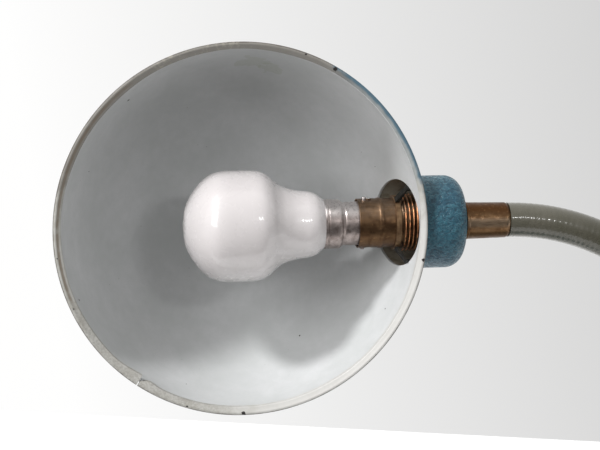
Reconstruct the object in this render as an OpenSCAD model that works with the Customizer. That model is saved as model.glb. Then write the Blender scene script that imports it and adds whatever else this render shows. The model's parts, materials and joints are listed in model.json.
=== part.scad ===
// Gooseneck examination lamp on a weighted round base.
// Millimetres, +Z up. The origin is the middle of the base pad's underside.
// The arm rises from the base and bends over towards -X. The shade opens towards -Y.
// Places along the lamp axis are given as u, the distance from the shade's own axis towards +X.

/* [Shade] */
// Radius over the trim at the mouth of the shade
shade_r = 91.2; // [89:0.2:94]
// Sheet thickness of the shade
shade_wall = 1; // [0.8:0.1:1.2]
// Distance of the lamp axis behind the plane of the mouth
rim_set = 27; // [25:1:29]
// Height of the shade's axis over the lamp axis
shade_lift = 0.8; // [0:0.2:2]
// How far the shade's middle lies towards the arm from station 0 of the lamp axis
shade_shift = 2.4; // [0:0.2:3]
// Radius of the side hole that the lampholder passes through
side_hole_r = 22; // [20:0.2:22]
// Where the trim's two ends meet, in degrees from +X towards +Z
trim_joint_angle = 234.5; // [0:0.5:360]

/* [Collar] */
// Outside radius of the collar
collar_r = 23.5; // [23.5:0.25:25]
// Radius of the rounded corner at the collar's closed end
collar_corner_r = 9; // [6:0.5:10]

/* [Bulb] */
// Greatest radius of the bulb's glass
glass_r = 28; // [26:0.5:29]
// Radius of the glass neck
neck_r = 16.1; // [15:0.1:17]

/* [Lampholder] */
// Outside radius of the bayonet barrel
barrel_r = 12.5; // [12.4:0.1:12.8]
// Crest radius of the barrel's threaded skirt
skirt_r = 14.5; // [14.3:0.1:15]

/* [Arm] */
// Radius of the bend at the top of the arm, along its middle line
bend_r = 120; // [110:1:140]
// Outside radius of the sleeve
sleeve_r = 8.8; // [8.5:0.1:9]
// Radius of the lamp flex
flex_r = 2.7; // [2.4:0.1:2.8]

/* [Base] */
// Radius of the base cover
base_r = 88; // [86:1:100]
// Height of the boss that the arm stands on
base_h = 45; // [44:0.5:48]
// Sheet thickness of the base cover
cover_wall = 1.5; // [1.2:0.1:1.6]
// Radius of the hole in the cable inlet bush
inlet_r = 3.3; // [3:0.1:3.5]

/* [Hidden] */
$fn = 72;
eps = 0.01;

// Arm: twelve hinges a pitch apart, the first and last half a pitch from the arm's ends.
// Six of them lie on the straight stretch, the last of those where the bend starts.
hinge_count = 12;
straight_hinges = 6;
bend_pitches = hinge_count - straight_hinges + 0.5;
pitch_angle = 90 / bend_pitches;
pitch = bend_r * PI / 2 / bend_pitches;
straight_l = pitch * (straight_hinges - 0.5);

// Stations along the lamp axis, from the bulb's tip to the start of the arm
tip_u = -25.5;
glass_l = 70.6;
glass_end_u = tip_u + glass_l;
cap_end_u = glass_end_u + 27.3;
contact_t = 1;
barrel_mouth_u = 62.3;
pin_u = 65.6;
skirt_u = 84.2;
skirt_end_u = 99;
holder_end_u = 112;
collar_end_u = 116.5;
ferrule_u = collar_end_u + 0.8;
ferrule_end_u = 140.6;
ferrule_r = 9.6;
ferrule_tip_r = 8.9;

// The shade's axis and the lamp axis
ferrule_l = 22;
arm_foot_z = base_h + ferrule_l;
lamp_h = arm_foot_z + straight_l + bend_r;
shade_x = -bend_r - ferrule_end_u;

// Shade and trim
trim_t = 0.5;
trim_w = 3.9;
trim_d = 4.5;
trim_gap = 0.6;
bead_r = 1.1;
bowl_r = shade_r - 2 * bead_r;

// Collar and lampholder
collar_wall = 1.2;
barrel_wall = 0.8;
insulator_u = 77;
insulator_end_u = 93;
terminal_u = insulator_end_u - 2;
plunger_y = 4.5;
plunger_r = 2.5;
plunger_nose_r = 2;
plunger_end_u = 84.5;
slot_turn = 22;
pin_turn = 12;
pin_r = 1.1;
cap_r = 11;

// Bulb glass, as lengths from its tip, and the wider part of its cap
front_l = 20;
body_l = 35;
shoulder_end = 59;
neck_end = 64;
cap_skirt_r = 12.5;
filament_u = 12;
filament_r = 11;

// Swivel
stud_r = 5;
stud_bore_r = 3.2;
stud_u = 105;
stud_end_u = 131;
groove_u = 126.2;
swivel_gap = 0.08;
stop_web = 10;

// Wound coil of the arm
coil_r = 6.75;
coil_bore_r = 4;
socket_r = 7.05;
sleeve_bore_r = 7.3;
coil_insert = 8;
wire_pitch = 2.9;

// Base
pad_t = 2.5;
pad_r = base_r - 4;
plate_t = 2.5;
plate_r = base_r - 1.7;
floor_z = pad_t + plate_t;
weight_r = base_r - 8;
weight_top_z = 22;
boss_r = 16;
shoulder_r = 10;
shoulder_z = base_h - 20;
slope_drop = 9.5;
slope_run = base_r - shoulder_r - boss_r;
slope_angle = atan(slope_drop / slope_run);
nipple_z = 20;
nipple_end_z = 57;
nut_h = 5.5;
nut_top_z = 25.5;
inlet_z = 13;
inlet_body_r = 6;
inlet_flange_r = 8;
channel_w = 14;
wire_z = 8.5;
screw_circle_r = 66;
screw_turns = [60, 120, 240, 300];
earth_x = 60;
earth_r = 1.5;

// Switch, on the slope of the base cover
switch_r = 52;
switch_z = base_h - 0.5 - slope_drop * (switch_r - boss_r) / slope_run;
switch_tilt = 15;
lever_pivot = 3;
lever_ball_r = 3.3;
bush_r = 5.9;
bush_bore_r = 3.6;
tab_reach = 6;
tab_drop = 23.6;

// Terminal block, in the pocket between the nipple and the inlet
block_x = 38;
block_l = 26;
block_w = 20;
block_h = 10;
way_pitch = 5;
ways = [-1.5 * way_pitch, -0.5 * way_pitch, 0.5 * way_pitch, 1.5 * way_pitch];
clamp_x = 7;
way_z = floor_z + block_h / 2;

function two(n) = n < 10 ? str("0", n) : str(n);
function link_name(k) = str("coil_link_", two(k));

LINKS = [for (k = [1 : hinge_count - 1]) link_name(k)];
HEAD = [
  "shade", "rim_trim", "collar", "holder_spider", "holder_barrel", "holder_cap",
  "holder_insulator", "holder_terminals", "holder_screws", "plunger_a", "plunger_b",
  "plunger_spring_a", "plunger_spring_b", "swivel_stud", "head_locknut", "head_flex",
  "bulb_glass", "bulb_cap", "bulb_insulator", "bulb_contacts", "bulb_stem", "bulb_filament"
];
ARM = [
  "head_ferrule", "swivel_screw", "swivel_washer", "coil_tip", "coil_root", "arm_sleeve",
  "arm_flex"
];
BASE = [
  "base_ferrule", "base_nipple", "base_nut", "base_washer", "base_cover", "base_weight",
  "base_plate", "base_pad", "base_screws", "switch_body", "switch_terminals", "switch_bush",
  "switch_nut", "switch_lever", "terminal_block", "block_screws", "lamp_cores",
  "switch_wires", "inlet_bush", "earth_screw"
];

// Frames. Inside on_lamp, +Z runs along the lamp axis from station u, -X is up, +Y is back.
module on_lamp(u = 0) {
  translate([shade_x + u, 0, lamp_h]) rotate([0, 90, 0]) children();
}

// Inside on_shade, +Z runs from the plane of the mouth into the bowl.
module on_shade() {
  translate([shade_x + shade_shift, -rim_set, lamp_h + shade_lift]) rotate([-90, 0, 0]) children();
}

// Inside on_hinge(k), +Z runs along the arm from its hinge k, and +X faces out of the bend.
module on_hinge(k) {
  if (k <= straight_hinges) {
    translate([0, 0, arm_foot_z + (k - 0.5) * pitch]) children();
  } else {
    translate([-bend_r, 0, arm_foot_z + straight_l])
      rotate([0, -(k - straight_hinges) * pitch_angle, 0])
        translate([bend_r, 0, 0]) children();
  }
}

// Inside on_switch, +Z leaves the base cover at the switch, square to its slope.
module on_switch() {
  translate([-switch_r, 0, switch_z]) rotate([0, -slope_angle, 0]) children();
}

// General shapes
module ring(outer, inner, h) {
  difference() {
    cylinder(r = outer, h = h);
    translate([0, 0, -eps]) cylinder(r = inner, h = h + 2 * eps);
  }
}

module hex_ring(across, inner, h) {
  difference() {
    cylinder(r = across / 2 / cos(30), h = h, $fn = 6);
    translate([0, 0, -eps]) cylinder(r = inner, h = h + 2 * eps);
  }
}

// Half outline of a cup that is closed at its far end and rounded at the corner
module cup_outline(r, z0, z1, corner) {
  translate([0, z0]) square([r, z1 - corner - z0]);
  translate([0, z0]) square([r - corner, z1 - z0]);
  translate([r - corner, z1 - corner]) intersection() {
    circle(corner);
    square(corner);
  }
}

module cup(r, wall, z0, z1, corner) {
  rotate_extrude() difference() {
    cup_outline(r, z0, z1, corner);
    cup_outline(r - wall, z0 - 1, z1 - wall, corner - wall);
  }
}

// Curved rod that leaves the origin along +Z and bends towards -X at the arm's radius
module bent_rod(r, angle) {
  translate([-bend_r, 0, 0]) rotate([90, 0, 0])
    rotate_extrude(angle = angle, $fn = 180) translate([bend_r, 0]) circle(r);
}

function unit(v) = v / norm(v);

// Wire swept through a list of points, mitred at the corners. No stretch runs along Y.
module wire(points, r) {
  sides = 12;
  last = len(points) - 1;
  rings = [
    for (i = [0 : last])
      let (
        before = unit(points[max(i, 1)] - points[max(i, 1) - 1]),
        after = unit(points[min(i, last - 1) + 1] - points[min(i, last - 1)]),
        along = unit(before + after),
        across = unit(cross([0, 1, 0], along)),
        up = cross(along, across),
        mitre = 1 / (before * along)
      )
      for (j = [0 : sides - 1])
        points[i] + r * mitre * cos(360 * j / sides) * across + r * mitre * sin(360 * j / sides) * up
  ];
  walls = [
    for (i = [0 : last - 1], j = [0 : sides - 1])
      let (a = i * sides + j, b = i * sides + (j + 1) % sides)
      [a, a + sides, b + sides, b]
  ];
  start_face = [for (j = [0 : sides - 1]) j];
  end_face = [for (j = [sides - 1 : -1 : 0]) last * sides + j];
  polyhedron(rings, concat(walls, [start_face, end_face]), convexity = 10);
}

// Round wire wound into a spring along +Z, with flat-lying ends
module spring(r, wire_r, h, turns) {
  sides = 8;
  steps = 16 * turns;
  lift = h - 2 * wire_r;
  rings = [
    for (i = [0 : steps], j = [0 : sides - 1])
      let (
        turn = 360 * turns * i / steps,
        side = 360 * j / sides,
        reach = r + wire_r * cos(side)
      )
      [reach * cos(turn), reach * sin(turn), wire_r + lift * i / steps + wire_r * sin(side)]
  ];
  walls = [
    for (i = [0 : steps - 1], j = [0 : sides - 1])
      let (a = i * sides + j, b = i * sides + (j + 1) % sides)
      [a, b, b + sides, a + sides]
  ];
  start_face = [for (j = [sides - 1 : -1 : 0]) j];
  end_face = [for (j = [0 : sides - 1]) steps * sides + j];
  polyhedron(rings, concat(walls, [start_face, end_face]), convexity = 10);
}

// Slotted cheese-head screw that stands on the plane z = 0 and reaches down into its hole
module slotted_screw(head_r, head_h, shank_r, shank_l) {
  difference() {
    cylinder(r = head_r, h = head_h);
    translate([-head_r - 1, -0.4, head_h * 0.5]) cube([2 * head_r + 2, 0.8, head_h]);
  }
  translate([0, 0, -shank_l]) cylinder(r = shank_r, h = shank_l);
}

// Shade: half a sphere, open at the mouth, with the side hole for the lampholder
module shade() {
  color("#46616b") difference() {
    on_shade() difference() {
      sphere(bowl_r, $fn = 144);
      sphere(bowl_r - shade_wall, $fn = 144);
      translate([0, 0, trim_t - 100]) cube(200, center = true);
    }
    on_lamp(bowl_r / 2) cylinder(r = side_hole_r, h = bowl_r);
  }
}

// Trim: band folded over the shade's edge, with a round bead outside and one joint
module rim_trim() {
  color("#b9b4a8") on_shade() rotate([0, 0, trim_gap / 2 - trim_joint_angle])
    rotate_extrude(angle = 360 - trim_gap, $fn = 144) {
      translate([shade_r - trim_w, 0]) square([trim_w - bead_r, trim_t]);
      translate([shade_r - bead_r, bead_r]) circle(bead_r, $fn = 32);
      translate([bowl_r, 0]) square([trim_t, trim_d]);
      translate([shade_r - trim_w, 0]) square([trim_t, trim_d]);
    }
}

// Collar: deep cup whose mouth is cut to the shade's outer surface
module collar() {
  color("#3f5d68") difference() {
    on_lamp() cup(collar_r, collar_wall, 66, collar_end_u, collar_corner_r);
    on_shade() sphere(bowl_r, $fn = 144);
    on_shade() cylinder(r = shade_r, h = trim_d);
    on_lamp(collar_end_u - 10) cylinder(r = stud_r, h = 12);
  }
}

// Spider: ring around the barrel with three arms that brace it in the shade's side hole
module holder_spider() {
  ring_u = 80.6;
  ring_h = 2.5;
  arm_w = 4;
  arm_t = 1;
  rise = 5;
  foot_l = 7;
  foot_r = side_hole_r - 0.1;
  root_r = barrel_r + 0.6;
  color("#4a443c") on_lamp(ring_u) {
    ring(barrel_r + 1.3, barrel_r, ring_h);
    for (turn = [90, 210, 330]) rotate([0, 0, turn])
      rotate([90, 0, 0]) translate([0, 0, -arm_w / 2]) linear_extrude(arm_w) polygon([
        [root_r, 0], [root_r + arm_t, 0], [foot_r, rise], [foot_r, rise + foot_l],
        [foot_r - arm_t, rise + foot_l], [foot_r - arm_t, rise + 0.4], [root_r, 1.4]
      ]);
  }
}

// Barrel: bayonet tube with two J-slots, a rolled bead and a wider threaded skirt
module holder_barrel() {
  crest = skirt_r;
  root = skirt_r - 0.9;
  step = 2;
  ridges = floor((skirt_end_u - skirt_u) / step);
  inner_skirt = skirt_r - 1.6;
  shoulder = 1.2;
  color("#7a5e3e") on_lamp() difference() {
    rotate_extrude() difference() {
      polygon(concat(
        [[0, barrel_mouth_u], [barrel_r, barrel_mouth_u], [barrel_r, 72.6], [barrel_r + 0.3, 73.2],
         [barrel_r + 0.3, 74], [barrel_r, 74.6], [barrel_r, skirt_u], [root, skirt_u]],
        [for (i = [0 : ridges - 1], half = [0.5, 1])
          [half == 1 ? root : crest, skirt_u + (i + half) * step]],
        [[root, skirt_end_u], [0, skirt_end_u]]
      ));
      translate([0, barrel_mouth_u - 1]) square([barrel_r - barrel_wall, 60]);
      translate([0, skirt_u + shoulder]) square([inner_skirt, 60]);
    }
    for (side = [0, 180]) rotate([0, 0, side]) bayonet_slot();
  }
}

// One J-slot: straight in from the mouth, around, and back to the seat where a pin rests
module bayonet_slot() {
  w = 2 * pin_r + 0.6;
  run_u = pin_u + 1.2;
  seat_r = pin_r + 0.2;
  seat_w = 2 * seat_r - 0.12;
  seat_l = run_u + w - 0.3 - pin_u;
  cut = 4;
  rotate([0, 0, pin_turn - slot_turn])
    translate([barrel_r - cut / 2, -w / 2, barrel_mouth_u - 1])
      cube([cut, w, run_u + w - barrel_mouth_u + 1]);
  rotate([0, 0, pin_turn - slot_turn]) rotate_extrude(angle = slot_turn)
    translate([barrel_r - cut / 2, run_u]) square([cut, w]);
  rotate([0, 0, pin_turn]) translate([barrel_r - cut / 2, 0, pin_u]) {
    rotate([0, 90, 0]) cylinder(r = seat_r, h = cut);
    translate([0, -seat_w / 2, 0]) cube([cut, seat_w, seat_l]);
  }
}

// Holder cap: closes the barrel's back and screws onto the swivel stud
module holder_cap() {
  color("#80623f") on_lamp() difference() {
    cup(skirt_r, 1.3, skirt_end_u, holder_end_u, 6);
    translate([0, 0, holder_end_u - 3]) cylinder(r = stud_r, h = 4);
  }
}

// Insulator: glazed porcelain body with two bores for the plungers
module holder_insulator() {
  bore_r = plunger_r + 0.1;
  color("#e8e2d4") on_lamp(insulator_u) difference() {
    union() {
      cylinder(r = barrel_r - barrel_wall - 0.1, h = insulator_end_u - insulator_u);
      translate([0, 0, skirt_u + 1.2 - insulator_u]) cylinder(r = skirt_r - 1.7, h = 3);
    }
    for (side = [-1, 1]) translate([0, side * plunger_y, 0]) {
      translate([0, 0, -1]) cylinder(r = plunger_nose_r + 0.1, h = 4);
      translate([0, 0, 1.6]) cylinder(r = bore_r, h = 20);
      translate([0, 0, terminal_u - insulator_u]) cylinder(r = 3, h = 10);
    }
  }
}

// Terminals: a bored post behind each plunger
module holder_terminals() {
  color("#b8924f") on_lamp(terminal_u) for (side = [-1, 1]) translate([0, side * plunger_y, 0])
    difference() {
      cylinder(r = 3, h = 9);
      translate([0, 0, 4]) cylinder(r = 1.3, h = 6);
      translate([0, 0, 6.5]) rotate([-90 * side, 0, 0]) cylinder(r = 1, h = 6);
    }
}

// Clamp screws of the two terminals
module holder_screws() {
  color("#b8924f") on_lamp(terminal_u + 6.5) for (side = [-1, 1])
    translate([0, side * (plunger_y + 3), 0]) rotate([-90 * side, 0, 0])
      slotted_screw(1.8, 1.6, 1, 1.8);
}

// Plunger: sprung contact with a slimmer nose that meets the bulb
module plunger(side) {
  nose_u = cap_end_u + contact_t;
  collar_u = insulator_u + 2;
  color("#c49a52") on_lamp() translate([0, side * plunger_y, 0]) {
    translate([0, 0, nose_u]) cylinder(r = plunger_nose_r, h = collar_u - nose_u + 1);
    translate([0, 0, collar_u]) cylinder(r = plunger_r, h = plunger_end_u - collar_u);
  }
}

module plunger_spring(side) {
  color("#c8c8c4") on_lamp(plunger_end_u + 0.02) translate([0, side * plunger_y, 0])
    spring(2, 0.25, terminal_u - plunger_end_u - 0.04, 5);
}

// Stud: hollow brass spindle that the head turns on, with a grooved track for the stop screw
module swivel_stud() {
  track = 2.4;
  color("#a67c45") on_lamp() difference() {
    translate([0, 0, stud_u]) ring(stud_r, stud_bore_r, stud_end_u - stud_u);
    rotate([0, 0, stop_web / 2 - 180]) rotate_extrude(angle = 360 - stop_web)
      translate([stud_r - 0.9, groove_u - track / 2]) square([2, track]);
  }
}

// Locknut that clamps the collar between itself and the swivel washer's side
module head_locknut() {
  color("#a67c45") on_lamp(holder_end_u)
    hex_ring(16, stud_r, collar_end_u - collar_wall - holder_end_u);
}

// Flex inside the head, with its two cores led into the terminals
module head_flex() {
  core_r = 1.1;
  core_y = 1.2;
  start_u = stud_u + 2;
  end_u = terminal_u + 5;
  spread_u = terminal_u + 9.3;
  color("#3a3733") on_lamp() {
    translate([0, 0, start_u]) cylinder(r = flex_r, h = stud_end_u + 0.4 - start_u);
    for (side = [-1, 1]) wire([
      [0, side * plunger_y, end_u], [0, side * plunger_y, spread_u],
      [0, side * core_y, stud_u - 0.7], [0, side * core_y, start_u]
    ], core_r);
  }
}

// Bulb. Its outline starts at the tip: half an ellipse, a short straight, a falling
// shoulder down to the neck, and a rounded end that meets the cap.
function glass_outline(inset) = concat(
  [for (a = [0 : 6 : 90]) [(glass_r - inset) * sin(a), front_l - (front_l - inset) * cos(a)]],
  [for (a = [0 : 12 : 180])
    [(glass_r + neck_r) / 2 - inset + (glass_r - neck_r) / 2 * cos(a),
     body_l + (shoulder_end - body_l) * a / 180]],
  [for (a = [0 : 15 : 90])
    [cap_skirt_r - inset + (neck_r - cap_skirt_r) * cos(a),
     neck_end + (glass_l - neck_end - inset) * sin(a)]]
);

module bulb_glass() {
  wall = 0.9;
  tail_r = 10;
  tail_l = 14;
  color("#e9e6e4") on_lamp(tip_u) rotate_extrude($fn = 96) difference() {
    union() {
      polygon(concat(glass_outline(0), [[0, glass_l]]));
      translate([0, glass_l - 1]) square([tail_r, tail_l + 1]);
    }
    polygon(concat(glass_outline(wall), [[0, glass_l - wall]]));
    translate([0, glass_l - 2]) square([tail_r - wall, tail_l + 4]);
  }
}

// Cap: a thin shell in two diameters, with the two bayonet pins
module bulb_cap() {
  wall = 0.4;
  skirt_l = 8.6;
  shell_l = cap_end_u - glass_end_u;
  color("#a89f96") on_lamp(glass_end_u) {
    rotate_extrude() difference() {
      polygon([
        [0, 0], [cap_skirt_r, 0], [cap_skirt_r, skirt_l], [cap_r, skirt_l + 1.5],
        [cap_r, shell_l - 1], [cap_r - 1, shell_l], [0, shell_l]
      ]);
      polygon([
        [0, -1], [cap_skirt_r - wall, -1], [cap_skirt_r - wall, skirt_l],
        [cap_r - wall, skirt_l + 1.5], [cap_r - wall, shell_l - 3], [0, shell_l - 3]
      ]);
      translate([0, shell_l - 4]) square([cap_r - 2, 6]);
    }
    for (side = [0, 180]) rotate([0, 0, pin_turn + side])
      translate([cap_r - 0.8, 0, pin_u - glass_end_u]) rotate([0, 90, 0])
        cylinder(r = pin_r, h = barrel_r + 1.4 - cap_r);
  }
}

// Black insulating disc that closes the cap and carries the contacts
module bulb_insulator() {
  color("#2a2725") on_lamp(cap_end_u - 3) cylinder(r = cap_r - 2, h = 3);
}

// Two soldered contact pads
module bulb_contacts() {
  color("#b9b9b4") on_lamp(cap_end_u) for (side = [-1, 1])
    translate([0, side * plunger_y, 0]) cylinder(r = 2.2, h = contact_t);
}

// Stem: glass flare and rod inside the neck, with two lead wires
module bulb_stem() {
  seat_u = 58;
  rod_u = 26;
  lead_r = 0.35;
  color("#cfd6d6") on_lamp() {
    translate([0, 0, seat_u - 2]) cylinder(r = 8.9, h = 1.6);
    translate([0, 0, rod_u + 8]) cylinder(r = 2.4, h = seat_u - rod_u - 9);
    translate([0, 0, rod_u - 16]) cylinder(r = 1, h = 26);
    for (side = [-1, 1]) wire([
      [0, side * 1.6, rod_u + 12], [0, side * 6, rod_u], [0, side * filament_r, filament_u]
    ], lead_r);
  }
}

// Filament: three quarters of a ring of coiled wire, carried by the leads
module bulb_filament() {
  color("#6a6a6a") on_lamp(filament_u) rotate([0, 0, 90])
    rotate_extrude(angle = 180) translate([filament_r, 0]) circle(0.45, $fn = 16);
}

// Coil link: the wound wire between two hinges of the arm. Its domed end turns in the
// hollow end of the link before it.
module coil_dome() {
  rotate_extrude() difference() {
    intersection() {
      circle(coil_r);
      translate([0, -coil_r]) square([coil_r, coil_r]);
    }
    translate([0, -coil_r - 1]) square([coil_bore_r, coil_r + 2]);
  }
}

// Grooves between the turns of wire, spread over a length l of the arm
module at_turns(l, bent) {
  first_s = 2;
  last_gap = 3;
  turns = floor((l - first_s - last_gap) / wire_pitch);
  for (i = [0 : turns - 1]) {
    s = first_s + i * wire_pitch;
    if (bent) {
      translate([-bend_r, 0, 0]) rotate([0, -s / pitch * pitch_angle, 0])
        translate([bend_r, 0, 0]) children();
    } else {
      translate([0, 0, s]) children();
    }
  }
}

module coil_tube(l, bent) {
  groove_depth = 0.5;
  groove_w = 0.6;
  difference() {
    if (bent) {
      difference() {
        bent_rod(coil_r, l / pitch * pitch_angle);
        bent_rod(coil_bore_r, l / pitch * pitch_angle);
      }
    } else {
      ring(coil_r, coil_bore_r, l);
    }
    at_turns(l, bent) ring(coil_r + 1, coil_r - groove_depth, groove_w);
  }
}

module coil_link(k) {
  bent = k >= straight_hinges;
  color("#8d8f8c") difference() {
    on_hinge(k) {
      coil_dome();
      coil_tube(pitch, bent);
    }
    on_hinge(k + 1) sphere(socket_r);
  }
}

// Fixed start of the coil, cemented in the base ferrule
module coil_root() {
  color("#8d8f8c") difference() {
    translate([0, 0, arm_foot_z - coil_insert])
      coil_tube(coil_insert + pitch / 2, false);
    on_hinge(1) sphere(socket_r);
  }
}

// Last half link, cemented in the head ferrule
module coil_tip() {
  slack = 0.15;
  lap = 0.5;
  color("#8d8f8c") {
    on_hinge(hinge_count) {
      coil_dome();
      coil_tube(pitch / 2, true);
    }
    on_lamp(ferrule_end_u - coil_insert)
      ring(coil_r - slack, coil_bore_r + slack, coil_insert + lap);
  }
}

// Sleeve over the whole arm, from one ferrule to the other
module arm_sleeve() {
  color("#6b675c") {
    translate([0, 0, arm_foot_z]) ring(sleeve_r, sleeve_bore_r, straight_l);
    translate([0, 0, arm_foot_z + straight_l]) difference() {
      bent_rod(sleeve_r, 90);
      bent_rod(sleeve_bore_r, 90);
    }
  }
}

// Lamp flex through the nipple, the arm and the head ferrule
module arm_flex() {
  bend_z = arm_foot_z + straight_l;
  color("#3a3733") {
    translate([0, 0, nipple_z - 1]) cylinder(r = flex_r, h = bend_z - nipple_z + 1);
    translate([0, 0, bend_z]) bent_rod(flex_r, 90);
    on_lamp(stud_end_u + 0.5) cylinder(r = flex_r, h = ferrule_end_u - stud_end_u - 0.5);
  }
}

// Turned ferrule: slightly tapered, with a rounded end towards the arm
module ferrule_body(l, screw_r, screw_l) {
  round_r = 1;
  difference() {
    rotate_extrude() {
      polygon([
        [0, 0], [ferrule_r - 0.4, 0], [ferrule_r, 0.4], [ferrule_tip_r, l - round_r],
        [ferrule_tip_r - 0.3, l - 0.3], [ferrule_tip_r - round_r, l], [0, l]
      ]);
    }
    translate([0, 0, -1]) cylinder(r = screw_r, h = screw_l + 1);
    translate([0, 0, screw_l - eps]) cylinder(r = coil_bore_r, h = l);
    translate([0, 0, l - coil_insert]) cylinder(r = coil_r, h = coil_insert + 1);
  }
}

// Ferrule at the head, which turns on the stud
module head_ferrule() {
  color("#6e4c30") on_lamp(ferrule_u) difference() {
    ferrule_body(ferrule_end_u - ferrule_u, stud_r + swivel_gap, stud_end_u + 0.4 - ferrule_u);
    translate([stud_r - 1, 0, groove_u - ferrule_u]) rotate([0, 90, 0])
      cylinder(r = 1.25, h = 8);
  }
}

// Grub screw whose tip runs in the stud's groove: it keeps the head on and stops its turn
module swivel_screw() {
  tip_r = 1;
  color("#5c5a56") on_lamp(groove_u) {
    translate([stud_r - 0.6, 0, 0]) rotate([0, 90, 0]) cylinder(r = tip_r, h = 2);
    translate([stud_r + 0.4, 0, 0]) rotate([0, 90, 0]) difference() {
      cylinder(r = 1.25, h = 3.4);
      translate([-2, -0.3, 2.6]) cube([4, 0.6, 2]);
    }
  }
}

// Fibre washer between the collar and the ferrule
module swivel_washer() {
  color("#5a3a28") on_lamp(collar_end_u + 0.1) ring(8.2, stud_r + 0.3, 0.7);
}

module base_ferrule() {
  color("#6e4c30") translate([0, 0, base_h])
    ferrule_body(ferrule_l, stud_r, nipple_end_z - base_h);
}

// Threaded nipple that holds ferrule, cover and weight together
module base_nipple() {
  color("#a67c45") translate([0, 0, nipple_z]) ring(stud_r, 3.4, nipple_end_z - nipple_z);
}

module base_nut() {
  color("#8d8f8c") translate([0, 0, nut_top_z - nut_h + 0.5]) hex_ring(17, stud_r, nut_h - 0.5);
}

module base_washer() {
  color("#9a9c99") translate([0, 0, nut_top_z]) ring(11, stud_r + 0.2, 1);
}

// Half outline of the base cover, drawn in by the given inset
module cover_outline(inset) {
  r = base_r - inset;
  mid = base_r - shoulder_r;
  top = base_h - 0.5 - inset;
  translate([0, pad_t + 0.5 - inset]) square([r, shoulder_z - pad_t - 0.5 + inset]);
  translate([mid, shoulder_z]) intersection() {
    circle(shoulder_r - inset);
    square(shoulder_r);
  }
  polygon([
    [0, shoulder_z - 1], [mid, shoulder_z - 1], [mid, shoulder_z + shoulder_r - inset],
    [boss_r, top], [boss_r - 1, top + 0.5], [0, top + 0.5]
  ]);
}

// Base cover: spun steel dome that hides the weight
module base_cover() {
  color("#3f5d68") difference() {
    rotate_extrude($fn = 144) difference() {
      cover_outline(0);
      cover_outline(cover_wall);
    }
    translate([0, 0, base_h - 10]) cylinder(r = stud_r, h = 20);
    on_switch() translate([0, 0, -5]) cylinder(r = bush_r, h = 10);
    translate([base_r - 5, 0, inlet_z]) rotate([0, 90, 0]) cylinder(r = inlet_body_r, h = 10);
  }
}

// Cast weight with a tower up to the cover, and pockets for switch, terminals and wires
module base_weight() {
  recess_r = 15;
  tower_r = 13;
  tower_top = base_h - cover_wall;
  pocket_h = 40;
  color("#2f3132") difference() {
    union() {
      translate([0, 0, floor_z]) cylinder(r = weight_r, h = weight_top_z - floor_z);
      translate([0, 0, floor_z]) cylinder(r = tower_r + 7, h = 24);
      translate([0, 0, floor_z]) cylinder(r = tower_r, h = tower_top - floor_z);
    }
    translate([0, 0, floor_z - 1]) cylinder(r = recess_r, h = nut_top_z + 1 - floor_z + 1);
    translate([0, 0, floor_z]) cylinder(r = stud_r + 0.2, h = base_h);
    translate([-70, -14, floor_z - 1]) cube([34, 28, pocket_h]);
    translate([-40, -channel_w / 2, floor_z - 1]) cube([40, channel_w, 10]);
    translate([19, -13, floor_z - 1]) cube([35, 26, pocket_h]);
    translate([0, -channel_w / 2, floor_z - 1]) cube([30, channel_w, 10]);
    translate([50, -channel_w / 2, floor_z - 1]) cube([50, channel_w, pocket_h]);
    for (turn = screw_turns) rotate([0, 0, turn])
      translate([screw_circle_r, 0, floor_z - 1]) cylinder(r = 2, h = 12);
  }
}

module base_plate() {
  color("#77797a") translate([0, 0, pad_t]) difference() {
    cylinder(r = plate_r, h = plate_t);
    for (turn = screw_turns) rotate([0, 0, turn]) translate([screw_circle_r, 0, 0]) {
      translate([0, 0, -1]) cylinder(r = 2.2, h = plate_t + 2);
      translate([0, 0, -eps]) cylinder(r1 = 4.2, r2 = 2.2, h = 2);
    }
    translate([earth_x, 0, -1]) cylinder(r = earth_r, h = plate_t + 2);
  }
}

// Rubber pad under the plate: the lamp stands on it
module base_pad() {
  color("#26282a") cylinder(r = pad_r, h = pad_t);
}

// Countersunk screws that hold the plate to the weight
module base_screws() {
  color("#9a9c99") for (turn = screw_turns) rotate([0, 0, turn])
    translate([screw_circle_r, 0, pad_t]) difference() {
      union() {
        cylinder(r1 = 4, r2 = 2, h = 2);
        cylinder(r = 2, h = 12);
      }
      translate([-5, -0.5, -1]) cube([10, 1, 1.8]);
    }
}

// Toggle switch
module switch_body() {
  body_l = 22;
  body_w = 15;
  body_h = 15;
  top = -3.6;
  color("#2b2624") on_switch() difference() {
    translate([-body_l / 2, -body_w / 2, top - body_h]) cube([body_l, body_w, body_h]);
    translate([0, 0, top - 6]) cylinder(r = 4.4, h = 8);
  }
}

module switch_terminals() {
  color("#b8924f") on_switch() for (side = [-1, 1])
    translate([side * tab_reach - 0.5, -2, -tab_drop]) cube([1, 4, 5]);
}

module switch_bush() {
  color("#b9b6ae") on_switch() translate([0, 0, -3.6]) difference() {
    cylinder(r = bush_r, h = 11.6);
    translate([0, 0, -1]) cylinder(r = bush_bore_r, h = 14);
  }
}

module switch_nut() {
  color("#b9b6ae") on_switch() translate([0, 0, 0.02]) ring(8.6, bush_r, 2.6);
}

// Lever, drawn at one end of its throw
module switch_lever() {
  lever_l = 17;
  start_r = 1.3;
  end_r = 2.5;
  tail_r = 1.1;
  tail_l = 9;
  color("#d0cdc6") on_switch() translate([0, 0, lever_pivot]) rotate([0, -switch_tilt, 0]) {
    sphere(lever_ball_r);
    cylinder(r1 = start_r, r2 = end_r, h = lever_l);
    translate([0, 0, lever_l]) sphere(end_r);
    translate([0, 0, -tail_l]) cylinder(r = tail_r, h = tail_l);
  }
}

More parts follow.
